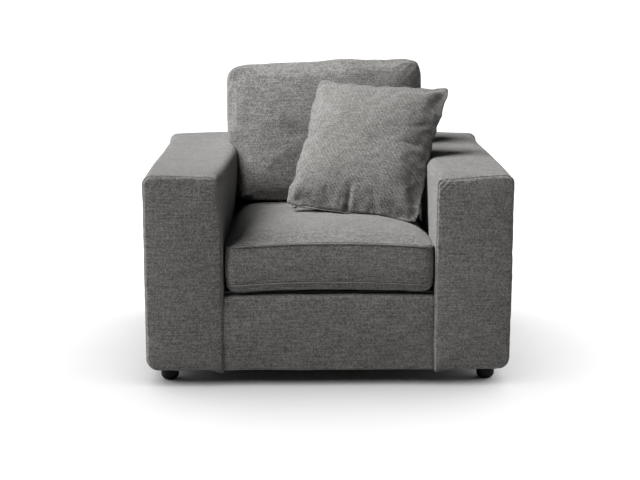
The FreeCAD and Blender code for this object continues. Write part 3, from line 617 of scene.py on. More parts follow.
def pad_arm(points, normals, low, high, side, seed):
    """Gives an arm's plain skin the softness, the drawn corners and the creases of its padding."""
    (inner, y0, z0), (outer, y1, z1) = low, high
    full, rear_full, pull, drop, squareness = ARM_SIDES[side]
    x, y, z = points.T
    # Broad softness of the padding, and a crown on the top.
    along = np.clip((y - y0) / (y1 - y0), 0, 1)
    crown = np.sin(math.pi * along) ** 0.5
    middle = np.sin(math.pi * np.clip((x - inner) / (outer - inner), 0, 1))
    lift = ARM_CROWN * crown * middle * smooth(normals[:, 2], 0.5, 0.95)
    lift += 0.0008 * ripple(points, 0.32, seed) + 0.0003 * ripple(points, 0.06, seed + 1)
    # Fabric gathers a little where the front panel is sewn on.
    from_seam = np.abs(y - (y0 + 0.004))
    at_front = np.exp(-from_seam / 0.012) * (1 - smooth(np.abs(normals[:, 1]), 0.97, 1.0))
    lift += 0.0007 * at_front * ripple(points, 0.022, seed + 2)
    points += normals * lift[:, None]
    # The inner side is fuller than the frame, most of all on the left.
    full = full + rear_full * smooth(y, y0 + 0.1, y1 - 0.4) * smooth(z, 0.3, 0.55)
    points[:, 0] -= full * (1 - smooth(x, inner, inner + 0.12))
    # The front's inner top corner is drawn in.
    near_front = 1 - smooth(y, y0 + 0.03, y0 + 0.2)
    inner_face = 1 - smooth(points[:, 0], inner + 0.01, inner + 0.05)
    points[:, 0] += pull * near_front * inner_face * smooth(z, 0.42, 0.63)
    # The front panel's top edge drops towards its inner corner, which stays square on the right.
    behind_front = np.clip(y - y0, 0, 1)
    at_edge = np.exp(-behind_front / 0.028) * smooth(z, z1 - 0.09, z1 - 0.01)
    slope_in = 1 - smooth(x, inner, outer - 0.02)
    square = bump(x, inner + 0.006, 0.014) * bump(z, z1 - 0.006, 0.014)
    square *= np.exp(-behind_front / 0.02) * squareness
    points[:, 0] -= ARM_CORNER_RISE * square
    points[:, 2] += ARM_CORNER_RISE * square - drop * at_edge * slope_in
    # The outer top edge is rounder towards the rear.
    shoulder = bump(x, outer - 0.012, 0.024) * bump(z, z1 - 0.012, 0.024)
    rearward = smooth(y, y0 + 0.1, y1 - 0.12) * (1 - smooth(y, y1 - 0.06, y1 - 0.025))
    points -= normals * (ARM_SHOULDER * shoulder * rearward)[:, None]
    # A few short creases run out of the front's inner top corner.
    corner = bump(x, inner + 0.02, 0.03) * bump(z, z1 - 0.03, 0.035)
    crease = np.sin((x - inner + z1 - z) * 2 * math.pi / ARM_CREASE_PITCH)
    points += normals * (0.0009 * corner * crease * (1 - smooth(y, y0 + 0.01, y0 + 0.06)))[:, None]
    # A tuck of the front panel hangs just under the hem beside the apron.
    tuck = bump(x, inner + 0.004, 0.02) * bump(y, y0 + 0.004, 0.014)
    points[:, 2] -= ARM_TUCK * tuck * (1 - smooth(z, z0 + 0.004, z0 + 0.03))


def arm_piece(side, node, extra, seed):
    """One upholstered arm. side is -1 for the left arm and 1 for the right one."""
    low, high = node_box(node)
    inner, outer = sorted((abs(low[0]), abs(high[0])))
    arm_low, arm_high = (inner, low[1], low[2] + HEM_GAP), (outer, high[1], high[2])
    mesh = arm_skin(node + "_skin", arm_low, arm_high)
    points = points_of(mesh)
    pad_arm(points, normals_of(mesh), arm_low, arm_high, side, seed)
    points[:, 0] *= side
    set_points(mesh, points)
    weld(mesh)
    name = "arm_left_upholstery" if side < 0 else "arm_right_upholstery"
    return place(name, mesh, "chair", CHAIR_CLOTH, replaces=[node, extra],
                 subdivide=1)


# ---- seat apron and back ------------------------------------------------------------------
APRON_RADII = (0.003, 0.004, 0.016, 0.005)
BACK_CLOTH_THICKNESS = 0.004
BACK_FRONT_ROLL = 0.034
BACK_REAR_ROLL = 0.014
# How far below the top the inside cloth's rear edge is turned down.
BACK_TURNED_DOWN = (0.017, 0.0195, 0.0215)
OUTSIDE_CLOTH_THICKNESS = 0.006
OUTSIDE_RADII = (0.0025, 0.0025, 0.001, 0.001)


def slab_along_x(name, low, high, radii, counts, end_roll, shape, step=0.01):
    """A closed skin whose rings lie in Y and Z and follow each other along X."""
    edge = ring(low[1:], high[1:], radii, counts)
    core, reach = collapsed(low[1:], high[1:], counts)
    rings = []

    def add(travel, x):
        flat = edge + (core - edge) * (travel / reach)
        rings.append(np.stack([np.full(len(flat), x), flat[:, 0], flat[:, 1]], 1))

    turns = np.radians(np.linspace(0, 90, 6))
    for travel in spread(reach, end_roll, 0.006):
        add(travel, low[0])
    for turn in turns:
        add(end_roll * (1 - math.sin(turn)), low[0] + end_roll * (1 - math.cos(turn)))
    for x in spread(low[0] + end_roll * 1.5, high[0] - end_roll, step):
        add(0.0, x)
    for turn in reversed(turns):
        add(end_roll * (1 - math.sin(turn)), high[0] - end_roll * (1 - math.cos(turn)))
    for travel in reversed(spread(reach, end_roll, 0.006)):
        add(travel, high[0])
    mesh = skin_mesh(name, rings)
    points = points_of(mesh)
    set_points(mesh, points + shape(points, normals_of(mesh)))
    return mesh


def apron():
    """The front between the arms, under the seat cushion."""
    low, high = node_box("apron_cover")
    low[0] += ARM_LEFT_FULL / 2

    def shape(points, normals):
        across = points[:, 0] / high[0]
        up = (points[:, 2] - low[2]) / (high[2] - low[2])
        front = smooth(-normals[:, 1], 0.3, 0.9)
        puff = 0.004 * front * np.sin(math.pi * np.clip(up, 0, 1)) * (1 - across**6)
        puff += 0.0009 * ripple(points, 0.15, 31) + 0.0004 * front * ripple(points, 0.05, 32)
        moved = normals * puff[:, None]
        # A turned hem along the bottom.
        hem = bump(points[:, 2], low[2] + 0.006, 0.0025) * front
        moved[:, 1] -= 0.0012 * hem
        # The top sinks a little towards its ends.
        moved[:, 2] -= 0.003 * smooth(np.abs(across), 0.5, 1.0) * smooth(up, 0.8, 1.0)
        return moved

    mesh = slab_along_x(
        "apron_skin", low, high, APRON_RADII, counts=(10, 60), end_roll=0.006, shape=shape, step=0.009
    )
    place("apron_upholstery", mesh, "chair", CHAIR_CLOTH,
          replaces=["apron_cover", "apron_padding"])


def inside_back_outline(low, high):
    """The inside cloth's outline in Y and Z: up the leaning front, over the top and down the rear."""
    lean = math.tan(BACK_LEAN)
    foot_y, rear, top = low[1], high[1], high[2]
    levels = spread(low[2], top - BACK_FRONT_ROLL * 0.9, 0.01)
    line = [(foot_y + (z - low[2]) * lean, z) for z in levels]
    slope = math.pi / 2 - BACK_LEAN
    centre_y = foot_y + (top - low[2]) * lean + BACK_FRONT_ROLL * math.tan(slope / 2)
    upright = math.pi / 2
    line += arc((centre_y, top - BACK_FRONT_ROLL), BACK_FRONT_ROLL, upright + slope, upright, 12)
    line += [(y, top) for y in spread(centre_y + 0.008, rear - BACK_REAR_ROLL, 0.008)]
    line += arc((rear - BACK_REAR_ROLL, top - BACK_REAR_ROLL), BACK_REAR_ROLL, upright, 0, 8)
    line += [(rear, top - down) for down in BACK_TURNED_DOWN]
    line = np.array(line)
    step = np.gradient(line, axis=0)
    step /= np.linalg.norm(step, axis=1)[:, None]
    inward = np.stack([step[:, 1], -step[:, 0]], 1)
    return np.vstack([line, (line + inward * BACK_CLOTH_THICKNESS)[::-1]])


def inside_back():
    """The inside and top of the low padded back between the arms, in one cloth."""
    low, high = node_box("inside_back_cover")
    outline = inside_back_outline(low, high)
    xs = [low[0], *spread(low[0] + 0.004, high[0] - 0.004, 0.01), high[0] - 0.004, high[0]]
    rings = [np.stack([np.full(len(outline), x), outline[:, 0], outline[:, 1]], 1) for x in xs]
    mesh = skin_mesh("inside_back_skin", rings, capped=True)
    points = points_of(mesh)
    across = points[:, 0] / high[0]
    puff = 0.0015 * ripple(points, 0.14, 41) + 0.0004 * ripple(points, 0.04, 42)
    puff *= smooth(points[:, 2], low[2], low[2] + 0.1)
    points[:, 2] += 0.0035 * (1 - across**4) * smooth(points[:, 2], high[2] - 0.03, high[2]) - 0.0035
    points[:, 2] += puff * 0.6
    set_points(mesh, points)
    place("inside_back_upholstery", mesh, "chair", CHAIR_CLOTH,
          replaces=["inside_back_cover", "back_padding"])


def outside_back():
    """The cloth over the outside of the back."""
    low, high = node_box("outside_back_cover")

    def shape(points, normals):
        across = points[:, 0] / high[0]
        up = (points[:, 2] - low[2]) / (high[2] - low[2])
        rear_face = smooth(normals[:, 1], 0.3, 0.9)
        hollow = np.sin(math.pi * np.clip(up, 0, 1)) * (1 - across**4)
        moved = normals * (0.0012 * rear_face * ripple(points, 0.2, 45))[:, None]
        moved[:, 1] -= 0.0018 * rear_face * hollow
        seam = bump(points[:, 2], high[2] - 0.004, 0.002) * rear_face
        moved[:, 1] += 0.0012 * seam
        return moved

    slab_low = np.array((low[0], high[1] - OUTSIDE_CLOTH_THICKNESS, low[2] + HEM_GAP))
    mesh = slab_along_x(
        "outside_back_skin", slab_low, high, OUTSIDE_RADII, counts=(2, 90), end_roll=0.0025, shape=shape
    )
    place("outside_back_upholstery", mesh, "chair", CHAIR_CLOTH,
          replaces=["outside_back_cover"])


# ---- seat cushion -------------------------------------------------------------------------
SEAT_COUNTS = (56, 66)
SEAT_BASE_GAP = 0.0015
# Heights of the two seams above the cushion's base.
SEAT_LOWER_SEAM = 0.0195
SEAT_UPPER_SEAM = 0.1345
SEAT_CORNER = 0.03
SEAT_CROWN = 0.0515
SEAT_SIDE_BULGE = 0.0045
SEAT_BOW = 0.012
SEAT_UNDER_BOW = 0.006
ZIP_DEPTH = 0.0079
# Half the height of the zip's slot, at its floor and at its rim.
ZIP_SLOT_HALF = (0.0058, 0.0068)
WELT_RADIUS = 0.0017
WELT_INSET = 0.0012


def seat_arch(across, back_share):
    """How much of the seat's bow a point takes: most at the middle of the front."""
    return (1 - across**2) * (1 - smooth(back_share, 0.0, 0.55))


def seat_give(across, back_share):
    """How much of the left arm's fullness a point gives way to."""
    return smooth(-across, 0.3, 1.0) * (1 - smooth(back_share, 0.9, 1.0))


def seat_skin(edge, core, reach, depth, seams, zip_z):
    """Level rings: in from the middle of the base, up the boxing and over the crown."""
    base, lower_seam, upper_seam = seams
    rings = []

    def add(travel, z):
        flat = edge + (core - edge) * (travel / reach)
        rings.append(np.stack([flat[:, 0], flat[:, 1], np.broadcast_to(z, depth.shape)], 1))

    lip = lower_seam - base
    for travel in spread(reach, 0.05, 0.02) + spread(0.05, lip + 0.006, 0.006):
        add(travel, base)
    for turn in np.radians(np.linspace(0, 80, 9)):
        add(0.003 + (lip + 0.003) * (1 - math.sin(turn)), base + lip * (1 - math.cos(turn)))
    heights = [lower_seam - 0.001, lower_seam, lower_seam + 0.001, lower_seam + 0.0035]
    heights += spread(lower_seam + 0.008, zip_z - 0.012, 0.008)
    heights += [zip_z + offset for offset in (-0.009, -0.0075, -0.0066, -0.0058, -0.002, 0.002)]
    heights += [zip_z + offset for offset in (0.0058, 0.0066, 0.0075, 0.009)]
    heights += spread(zip_z + 0.015, upper_seam - 0.008, 0.008)
    heights += [upper_seam - 0.0035, upper_seam - 0.001, upper_seam, upper_seam + 0.001]
    for z in heights:
        share = (z - lower_seam) / (upper_seam - lower_seam)
        bulge = SEAT_SIDE_BULGE * math.sin(math.pi * min(1, max(0, share))) ** 0.8
        tight = 0.0014 * (bump(z, lower_seam, 0.002) + bump(z, upper_seam, 0.002))
        add(0.0025 - bulge + tight, z)
    travels = [0.0045, 0.007] + [-t for t in spread(-0.010, -0.06, 0.005)]
    travels += [-t for t in spread(-0.06, -reach, 0.011)] + [reach]
    for travel in travels:
        edge_drop = np.exp(-travel / (0.042 - 0.024 * smooth(depth, 0.05, 0.55)))
        add(travel, upper_seam + SEAT_CROWN * (1 - edge_drop) * (0.82 + 0.18 * (travel / reach)))
    return skin_mesh("seat_cushion_skin", rings)


def soften_seat(mesh, low_edge, high_edge, seams, rear, zip_z, zip_end):
    """The crown's fullness, the bow of the seams, the zip's slot and small unevenness."""
    base, lower_seam, upper_seam = seams
    points, normals = points_of(mesh), normals_of(mesh)
    x, y, z = points.T
    across = x / high_edge[0]
    back_share = (y - low_edge[1]) / (high_edge[1] - low_edge[1])
    # The top is fullest towards the front, and flatter under the back cushion and at the sides.
    top = smooth(z, upper_seam, upper_seam + 0.02)
    points[:, 2] -= top * 0.004 * smooth(back_share, 0.6, 1.0)
    points[:, 2] -= top * 0.006 * across**4
    # It bulges up where the pillow and the arm hem it in.
    points[:, 2] += top * 0.009 * bump(across, 0.55, 0.4) * bump(back_share, 0.5, 0.28)
    # It is springy in the middle: seams and underside bow up a little towards the front.
    over_lip = smooth(z, base, lower_seam)
    bow = SEAT_UNDER_BOW + (SEAT_BOW - SEAT_UNDER_BOW) * over_lip
    points[:, 2] += seat_arch(across, back_share) * bow * (1 - 0.55 * top)
    droop = across**2 * (1 - smooth(back_share, 0.0, 0.3))
    points[:, 2] -= 0.0025 * droop * (1 - smooth(z, base, lower_seam))
    points[:, 0] += ARM_LEFT_FULL * seat_give(across, back_share)
    # The zip lies in a slot in the rear boxing.
    behind = smooth(normals[:, 1], 0.5, 0.9) * (1 - smooth(np.abs(x), zip_end, zip_end + 0.002))
    slot = behind * (1 - smooth(np.abs(z - zip_z), *ZIP_SLOT_HALF))
    points[:, 1] -= slot * (ZIP_DEPTH + points[:, 1] - rear)
    # Soft unevenness, and puckers along the seams.
    lift = 0.0016 * ripple(points, 0.2, 51) * (0.4 + 0.6 * top) + 0.0004 * ripple(points, 0.05, 52)
    near_seam = np.exp(-np.abs(z - upper_seam) / 0.006) + np.exp(-np.abs(z - lower_seam) / 0.005)
    lift += 0.0004 * near_seam * ripple(points, 0.02, 53)
    lift *= 1 - behind
    points += normals * lift[:, None]
    set_points(mesh, points)
    weld(mesh)


def seat_cushion(neighbours):
    """Boxed foam cushion with a crowned top, two welts, and a zip in its rear boxing."""
    low, high = local_box("seat_cushion_cover", DECK)
    zip_low, zip_high = local_box("seat_cushion_zip", DECK)
    zip_z = (zip_low[2] + zip_high[2]) / 2
    base = low[2] + SEAT_BASE_GAP
    seams = base, base + SEAT_LOWER_SEAM, base + SEAT_UPPER_SEAM
    low_edge, high_edge = low[:2] + 0.002, high[:2] - 0.001
    edge = ring(low_edge, high_edge, (SEAT_CORNER,) * 4, SEAT_COUNTS)
    core, reach = collapsed(low_edge, high_edge, SEAT_COUNTS)
    depth = (edge[:, 1] - low_edge[1]) / (high_edge[1] - low_edge[1])
    mesh = seat_skin(edge, core, reach, depth, seams, zip_z)
    soften_seat(mesh, low_edge, high_edge, seams, high[1], zip_z, zip_high[0] + 0.004)
    pressed(mesh, DECK, neighbours)
    fabric = place("seat_cushion_upholstery", mesh, "seat_cushion", CUSHION_CLOTH, matrix=DECK,
                   replaces=["seat_cushion_cover", "seat_cushion_filling"])

    path = edge + (core - edge) * (WELT_INSET / reach)
    back_share = (path[:, 1] - low_edge[1]) / (high_edge[1] - low_edge[1])
    arch = seat_arch(path[:, 0] / high_edge[0], back_share)
    give = seat_give(path[:, 0] / high_edge[0], back_share)
    # The welts wear the lighter welt cloth, whose extra lightness is a painted highlight.
    for name, seam in (("upper", seams[2]), ("lower", seams[1])):
        line = np.stack([path[:, 0] + ARM_LEFT_FULL * give, path[:, 1], seam + SEAT_BOW * arch], 1)
        welt = welt_mesh("seat_welt_" + name, line, WELT_RADIUS)
        place("seat_cushion_" + name + "_welt", welt, "seat_cushion", WELT_CLOTH_PAINTED_HIGHLIGHT, matrix=DECK)
    return fabric


# ---- filling by simulation ----------------------------------------------------------------
CLOTH_STIFFNESS = 12.0
CLOTH_SHEAR = 0.4
CLOTH_BENDING = 0.6
CLOTH_MASS = 0.25
CLOTH_QUALITY = 5


def fill_with_cloth(mesh, pressure, frames, cap, growth, held=None):
    """Blows a closed mesh up like a filled cushion. No point travels further than cap."""
    rest = points_of(mesh)
    piece = bpy.data.objects.new("filling_work", mesh)
    bpy.context.scene.collection.objects.link(piece)
    modifier = piece.modifiers.new("cloth", "CLOTH")
    cloth = modifier.settings
    cloth.quality = CLOTH_QUALITY
    cloth.mass = CLOTH_MASS
    cloth.tension_stiffness = CLOTH_STIFFNESS
    cloth.compression_stiffness = CLOTH_STIFFNESS
    cloth.shear_stiffness = CLOTH_STIFFNESS * CLOTH_SHEAR
    cloth.bending_stiffness = CLOTH_BENDING
    cloth.use_pressure = True
    cloth.uniform_pressure_force = pressure
    cloth.shrink_min = -growth
    cloth.effector_weights.gravity = 0.0
    if held is not None:
        group = piece.vertex_groups.new(name="held")
        for index in np.flatnonzero(held > 0):
            group.add([int(index)], float(held[index]), "REPLACE")
        cloth.vertex_group_mass = "held"
    modifier.point_cache.frame_start = 1
    modifier.point_cache.frame_end = frames
    scene = bpy.context.scene
    for number in range(1, frames + 1):
        scene.frame_set(number)
    depsgraph = bpy.context.evaluated_depsgraph_get()
    filled = bpy.data.meshes.new_from_object(piece.evaluated_get(depsgraph))
    moved = points_of(filled) - rest
    length = np.linalg.norm(moved, axis=1)
    share = np.minimum(1.0, cap / np.maximum(length, 1e-9))
    set_points(filled, rest + moved * share[:, None])
    bpy.data.objects.remove(piece)
    scene.frame_set(1)
    return filled


# ---- back cushion -------------------------------------------------------------------------
BACK_COUNTS = (60, 44)
# Corner radii of its outline: right low, right top, left top, left low.
BACK_RADII = (0.016, 0.034, 0.04, 0.016)
BACK_REAR_EDGE = 0.03
BACK_CROWN = 0.062
BACK_ROLL = 0.03
BACK_INSET = 0.004
BACK_SEAM_TURN = math.radians(38)
BACK_SPREAD = 0.04
BACK_LEFT_PRESS = 0.012
BACK_GATHERS = 0.0045
BACK_GATHER_PITCH = 0.026
# How far the finished cushion may stand out of its CAD solid, at its low and high corners.
BACK_ROOM = np.array([0.03, 0.008, 0.0]), np.array([0.03, 0.0, 0.0185])


def back_skin(low, high, front, rear):
    """Upright rings: out from the middle of the flat rear, forward, and in over the front's crown."""
    edge = ring(low, high, BACK_RADII, BACK_COUNTS)
    core, reach = collapsed(low, high, BACK_COUNTS)
    rings = []

    def add(travel, y):
        flat = edge + (core - edge) * (travel / reach)
        rings.append(np.stack([flat[:, 0], np.full(len(flat), y), flat[:, 1]], 1))

    for travel in spread(reach, BACK_REAR_EDGE, 0.013):
        add(travel, rear)
    for turn in np.radians(np.linspace(0, 80, 6)):
        add(BACK_REAR_EDGE * (1 - math.sin(turn)), rear - BACK_REAR_EDGE * (1 - math.cos(turn)))
    front_edge = front + BACK_CROWN
    for y in spread(rear - BACK_REAR_EDGE - 0.004, front_edge, 0.008):
        share = (rear - y) / (rear - front_edge)
        add(BACK_INSET - 0.006 * math.sin(math.pi * share), y)
    for turn in np.radians(np.linspace(4, 90, 26)):
        seam = 0.0022 * bump(turn, BACK_SEAM_TURN, math.radians(5))
        seam -= 0.0012 * bump(turn, BACK_SEAM_TURN + math.radians(12), math.radians(6))
        add(BACK_INSET + BACK_ROLL * (1 - math.cos(turn)) + seam * math.cos(turn),
            front_edge - BACK_ROLL * math.sin(turn) + seam * math.sin(turn))
    rolled = BACK_ROLL + BACK_INSET
    for travel in [-t for t in spread(-BACK_ROLL - 0.01, -reach, 0.008)] + [reach]:
        share = (travel - rolled) / (reach - rolled)
        rise = math.sin(share**0.8 * math.pi / 2)
        add(travel, front_edge - BACK_ROLL - (BACK_CROWN - BACK_ROLL) * rise)
    return skin_mesh("back_cushion_skin", rings)


def back_cushion(neighbours):
    """Loose cushion with a soft crowned front, boxed sides and a flat rear."""
    low, high = local_box("back_cushion_cover", BACK)
    x0, x1 = low[0] + 0.004, high[0] - 0.004
    z0, z1 = low[2] + 0.0055, high[2] - 0.002
    mesh = back_skin((x0, z0), (x1, z1), front=low[1] + 0.006, rear=high[1] - 0.001)
    points = points_of(mesh)
    x, y, z = points.T
    # It is taller on its right than on its left, with a slight dip left of the middle.
    up = smooth(z, z0 + 0.1, z1)
    across = x / x1
    points[:, 2] += up * (0.0105 * across - 0.003 * bump(across, -0.1, 0.5) + 0.006)
    # Its underside lies along the seat, which slopes less than the back leans.
    level = math.tan(BACK_LEAN - SEAT_PITCH) * (y - low[1])
    points[:, 2] += level * (1 - smooth(z, z0, z0 + 0.2))
    # Above the arms it spreads a little to both sides, and between them the left arm presses it in.
    above = smooth(z, z0 + 0.12, z0 + 0.25)
    points[:, 0] *= 1 + BACK_SPREAD * above
    points[:, 0] += BACK_LEFT_PRESS * smooth(-across, 0.3, 1.0) * (1 - above)
    set_points(mesh, points)
    mesh = fill_with_cloth(mesh, pressure=2.0, frames=12, cap=0.007, growth=0.01)

    points, normals = points_of(mesh), normals_of(mesh)
    x, y, z = points.T
    lift = 0.0035 * ripple(points, 0.24, 61, stretch=(1, 1, 1.6)) + 0.001 * ripple(points, 0.07, 62)
    faces_front = smooth(-normals[:, 1], 0.2, 0.8)
    # Gathers at the lower corners, where the arms squeeze it.
    for side in (-1, 1):
        corner = bump(x, side * x1 * 0.93, 0.05) * bump(z, z0 + 0.045, 0.06)
        fold = np.sin((x * side - 0.35 * (z - z0)) * 2 * math.pi / BACK_GATHER_PITCH)
        lift += BACK_GATHERS * corner * fold * faces_front
    # A pinch near the top left corner.
    lift -= 0.006 * bump(x, x0 + 0.012, 0.02) * bump(z, z1 - 0.055, 0.02)
    points += normals * lift[:, None]
    set_points(mesh, np.clip(points, low - BACK_ROOM[0], high + BACK_ROOM[1]))
    pressed(mesh, BACK, neighbours)
    return place("back_cushion_upholstery", mesh, "back_cushion", CUSHION_CLOTH, matrix=BACK,
                 replaces=["back_cushion_cover", "back_cushion_filling"])


# ---- throw pillow -------------------------------------------------------------------------
PILLOW_GRID = 76
PILLOW_SAG = 0.009
# What follows is by the corner's own side and height, as someone who faces the chair sees it.
# How far each corner moves across and up.
PILLOW_CORNERS = {
    (-1, 1): (-0.016, 0.001),
    (1, 1): (0.005, 0.021),
    (1, -1): (0.030, -0.006),
    (-1, -1): (0.006, -0.003),
}
# How deep the folds beside each corner are.
PILLOW_FOLDS = {(-1, 1): 0.0045, (1, 1): 0.007, (1, -1): 0.0075, (-1, -1): 0.006}
# How far the edges between the corners are drawn in: left, right and top, as shares of the half size.
PILLOW_DRAWN_IN = (0.055, 0.05, 0.055)
PINCH_X = 0.006
PINCH_DEPTH = 0.010


def pillow_frame():
    """The pillow's own frame, with its origin at the middle of the CAD pillow, and its size."""
    low, high = local_box("throw_pillow_cover", PILLOW_TURN)
    return PILLOW_TURN @ Matrix.Translation(Vector((low + high) / 2)), high - low


def pillow_sheets(half):
    """Two flat square sheets joined along their edges, as sewn before filling."""
    count = PILLOW_GRID + 1
    steps = np.linspace(-half, half, count)
    faces = []
    points = []
    index = {}
    for layer in (-1, 1):
        for row in range(count):
            for column in range(count):
                border = row in (0, PILLOW_GRID) or column in (0, PILLOW_GRID)
                key = (row, column) if border else (row, column, layer)
                if key not in index:
                    index[key] = len(points)
                    points.append((steps[column], 0.0 if border else layer * 0.004, steps[row]))
        for row in range(PILLOW_GRID):
            for column in range(PILLOW_GRID):
                corners = [(row, column), (row, column + 1), (row + 1, column + 1), (row + 1, column)]
                loop = [index.get(c, index.get((*c, layer))) for c in corners]
                faces.append(tuple(loop if layer < 0 else loop[::-1]))
    mesh = bpy.data.meshes.new("pillow_skin")
    mesh.from_pydata(points, [], faces)
    mesh.update()
    return mesh


def corner_folds(u, v):
    """Two dents beside a ridge that runs into each corner, like the ears of a filled pillow."""
    total = np.zeros(len(u))
    for (side, level), depth in PILLOW_FOLDS.items():
        across, up = 1 - side * u, 1 - level * v
        distance = np.hypot(across, up)
        turn = np.arctan2(np.maximum(up, 0), np.maximum(across, 0))
        total += depth * np.cos(6 * (turn - math.pi / 4)) * bump(distance, 0.27, 0.15)
    return total


def cut_pillow(mesh, u, v, half, thickness):
    """Gives the flat sheets a first thickness, blunt corners and drawn-in edges."""
    points = points_of(mesh)
    blunt = np.where(points[:, 1] > 0, 0.85, 0.7)
    full = np.clip((1 - np.abs(u) ** 2.5) * (1 - np.abs(v) ** 2.5), 0, 1) ** blunt
    points[:, 1] = np.sign(points[:, 1]) * full * thickness * 0.5
    left, right, top = PILLOW_DRAWN_IN
    sides = np.where(u < 0, left, right) * (1 - v**2) ** 1.2 * np.abs(u) ** 3
    over = top * (1 - u**2) ** 1.2 * np.clip(v, 0, 1) ** 3
    tip = 1 - 0.045 * (np.abs(u) * np.abs(v)) ** 9
    points[:, 0] = half * u * tip * (1 - sides)
    points[:, 2] = half * v * tip * (1 - over)
    set_points(mesh, points)


def settle_pillow(mesh, u, v, border):
    """Moves the filled pillow's corners and edges to where it slumps in the corner of the seat."""
    points = points_of(mesh)
    for (side, level), (across, up) in PILLOW_CORNERS.items():
        weight = np.clip((1 + side * u) / 2, 0, 1) * np.clip((1 + level * v) / 2, 0, 1)
        points[:, 0] += across * weight
        points[:, 2] += up * (weight if level > 0 else weight**4)
    points[:, 2] -= PILLOW_SAG * (1 - smooth(v, -1.0, -0.4))
    # The sewn edge wanders a little.
    points[:, 0] += 0.0026 * np.sign(u) * smooth(np.abs(u), 0.86, 1.0) * ripple(points, 0.06, 73)
    points[:, 2] += 0.0030 * smooth(v, 0.86, 1.0) * ripple(points, 0.055, 74)
    set_points(mesh, points)
    normals = normals_of(mesh)
    x = points[:, 0]
    # The pinch in the middle of the lower edge, from leaning on the seat.
    inside = np.clip((1 + v) / 0.42, 0, 1)
    low_front = (1 - smooth(inside, 0.0, 1.0)) * smooth(-normals[:, 1], 0.0, 0.6)
    beside = bump(x, PINCH_X - 0.026, 0.018) + bump(x, PINCH_X + 0.024, 0.016)
    lift = (0.005 * beside - PINCH_DEPTH * bump(x, PINCH_X + 0.02 * inside, 0.006)) * low_front
    lift += corner_folds(u, v)
    # Puckers along the seam, and broad softness.
    lift += 0.0024 * np.exp(-(1 - border) / 0.1) * ripple(points, 0.03, 75)
    lift += 0.0026 * ripple(points, 0.15, 71) + 0.0007 * ripple(points, 0.035, 72)
    set_points(mesh, points + normals * lift[:, None])


def lower_pillow_zip(mesh, matrix, u, v):
    """Copies of the zip and its slider follow the lower edge, which sags below the CAD pillow's."""
    points = points_of(mesh)
    edge = np.flatnonzero((v < -0.999) & (np.abs(u) < 0.95))
    edge = points[edge[np.argsort(points[edge, 0])]]
    zip_low, zip_high = local_box("throw_pillow_zip", matrix)
    level = (zip_low[2] + zip_high[2]) / 2
    for node, body, material, slot in (
        ("throw_pillow_zip", "throw_pillow", ZIP_COIL, "zip_tape"),
        ("pillow_zip_slider", "pillow_zip_slider", ZIP_METAL, "zip_metal"),
    ):
        lowered = NODES[node].data.copy()
        lowered.transform(matrix.inverted())
        at = points_of(lowered)
        at[:, 1] += np.interp(at[:, 0], edge[:, 0], edge[:, 1])
        at[:, 2] += np.interp(at[:, 0], edge[:, 0], edge[:, 2]) - level
        set_points(lowered, at)
        place(node + "_lowered", lowered, body, material, matrix=matrix, replaces=[node])


def throw_pillow(neighbours):
    """Square pillow: two sheets of cloth sewn together and filled, with drawn-in edges."""
    matrix, size = pillow_frame()
    half = size[0] / 2
    mesh = pillow_sheets(half)
    # Where each point is on its sheet, from -1 to 1 across and up.
    flat = points_of(mesh)
    u, v = np.clip(flat[:, 0] / half, -1, 1), np.clip(flat[:, 2] / half, -1, 1)
    border = np.maximum(np.abs(u), np.abs(v))
    cut_pillow(mesh, u, v, half, size[1])
    held = (border > 0.999).astype(float)
    mesh = fill_with_cloth(mesh, pressure=2.5, frames=18, cap=0.014, growth=0.018, held=held)
    settle_pillow(mesh, u, v, border)
    pressed(mesh, matrix, neighbours)
    lower_pillow_zip(mesh, matrix, u, v)
    place("throw_pillow_upholstery", mesh, "throw_pillow", PILLOW_CLOTH, matrix=matrix,
          replaces=["throw_pillow_cover", "throw_pillow_filling"],
          subdivide=1)


# ---- the studio ---------------------------------------------------------------------------
CAMERA_PLACE = (-0.0913, -4.687, 1.3192)
CAMERA_PITCH = 0.2051
CAMERA_YAW = 0.0157
CAMERA_LENS = 82.8
WORLD_FILL = 0.06
WORLD_SEEN = 1.05
FLOOR_REACH = 14.0
FLOOR_TONES = (0.655, 0.67)
KEY_FROM = (-0.62, -0.03, 0.78)
KEY_ANGLE = 38.0
KEY_STRENGTH = 10.8
SKY_FROM = (0.05, 0.4, 1.0)
SKY_STRENGTH = 5.9
SKY_ANGLE = 150.0
ACCENT_PLACE = (-0.7, -2.2, 2.3)
ACCENT_AIM = (-0.13, 0.08, 0.78)
ACCENT_CONE = 18.0
ACCENT_POWER = 400.0
ACCENT_SOFTNESS = 0.25


def surroundings():
    """A white world that the camera sees, and that lights the chair only faintly."""
    scene = bpy.context.scene
    scene.view_settings.view_transform = "Standard"
    world = bpy.data.worlds.new("studio")
    world.use_nodes = True
    scene.world = world
    nodes, links = world.node_tree.nodes, world.node_tree.links
    fill, seen = nodes["Background"], nodes.new("ShaderNodeBackground")
    for background, strength in ((fill, WORLD_FILL), (seen, WORLD_SEEN)):
        background.inputs["Color"].default_value = (1.0, 1.0, 1.0, 1.0)
        background.inputs["Strength"].default_value = strength
    path = nodes.new("ShaderNodeLightPath")
    mix = nodes.new("ShaderNodeMixShader")
    links.new(path.outputs["Is Camera Ray"], mix.inputs[0])
    links.new(fill.outputs[0], mix.inputs[1])
    links.new(seen.outputs[0], mix.inputs[2])
    links.new(mix.outputs[0], nodes["World Output"].inputs["Surface"])


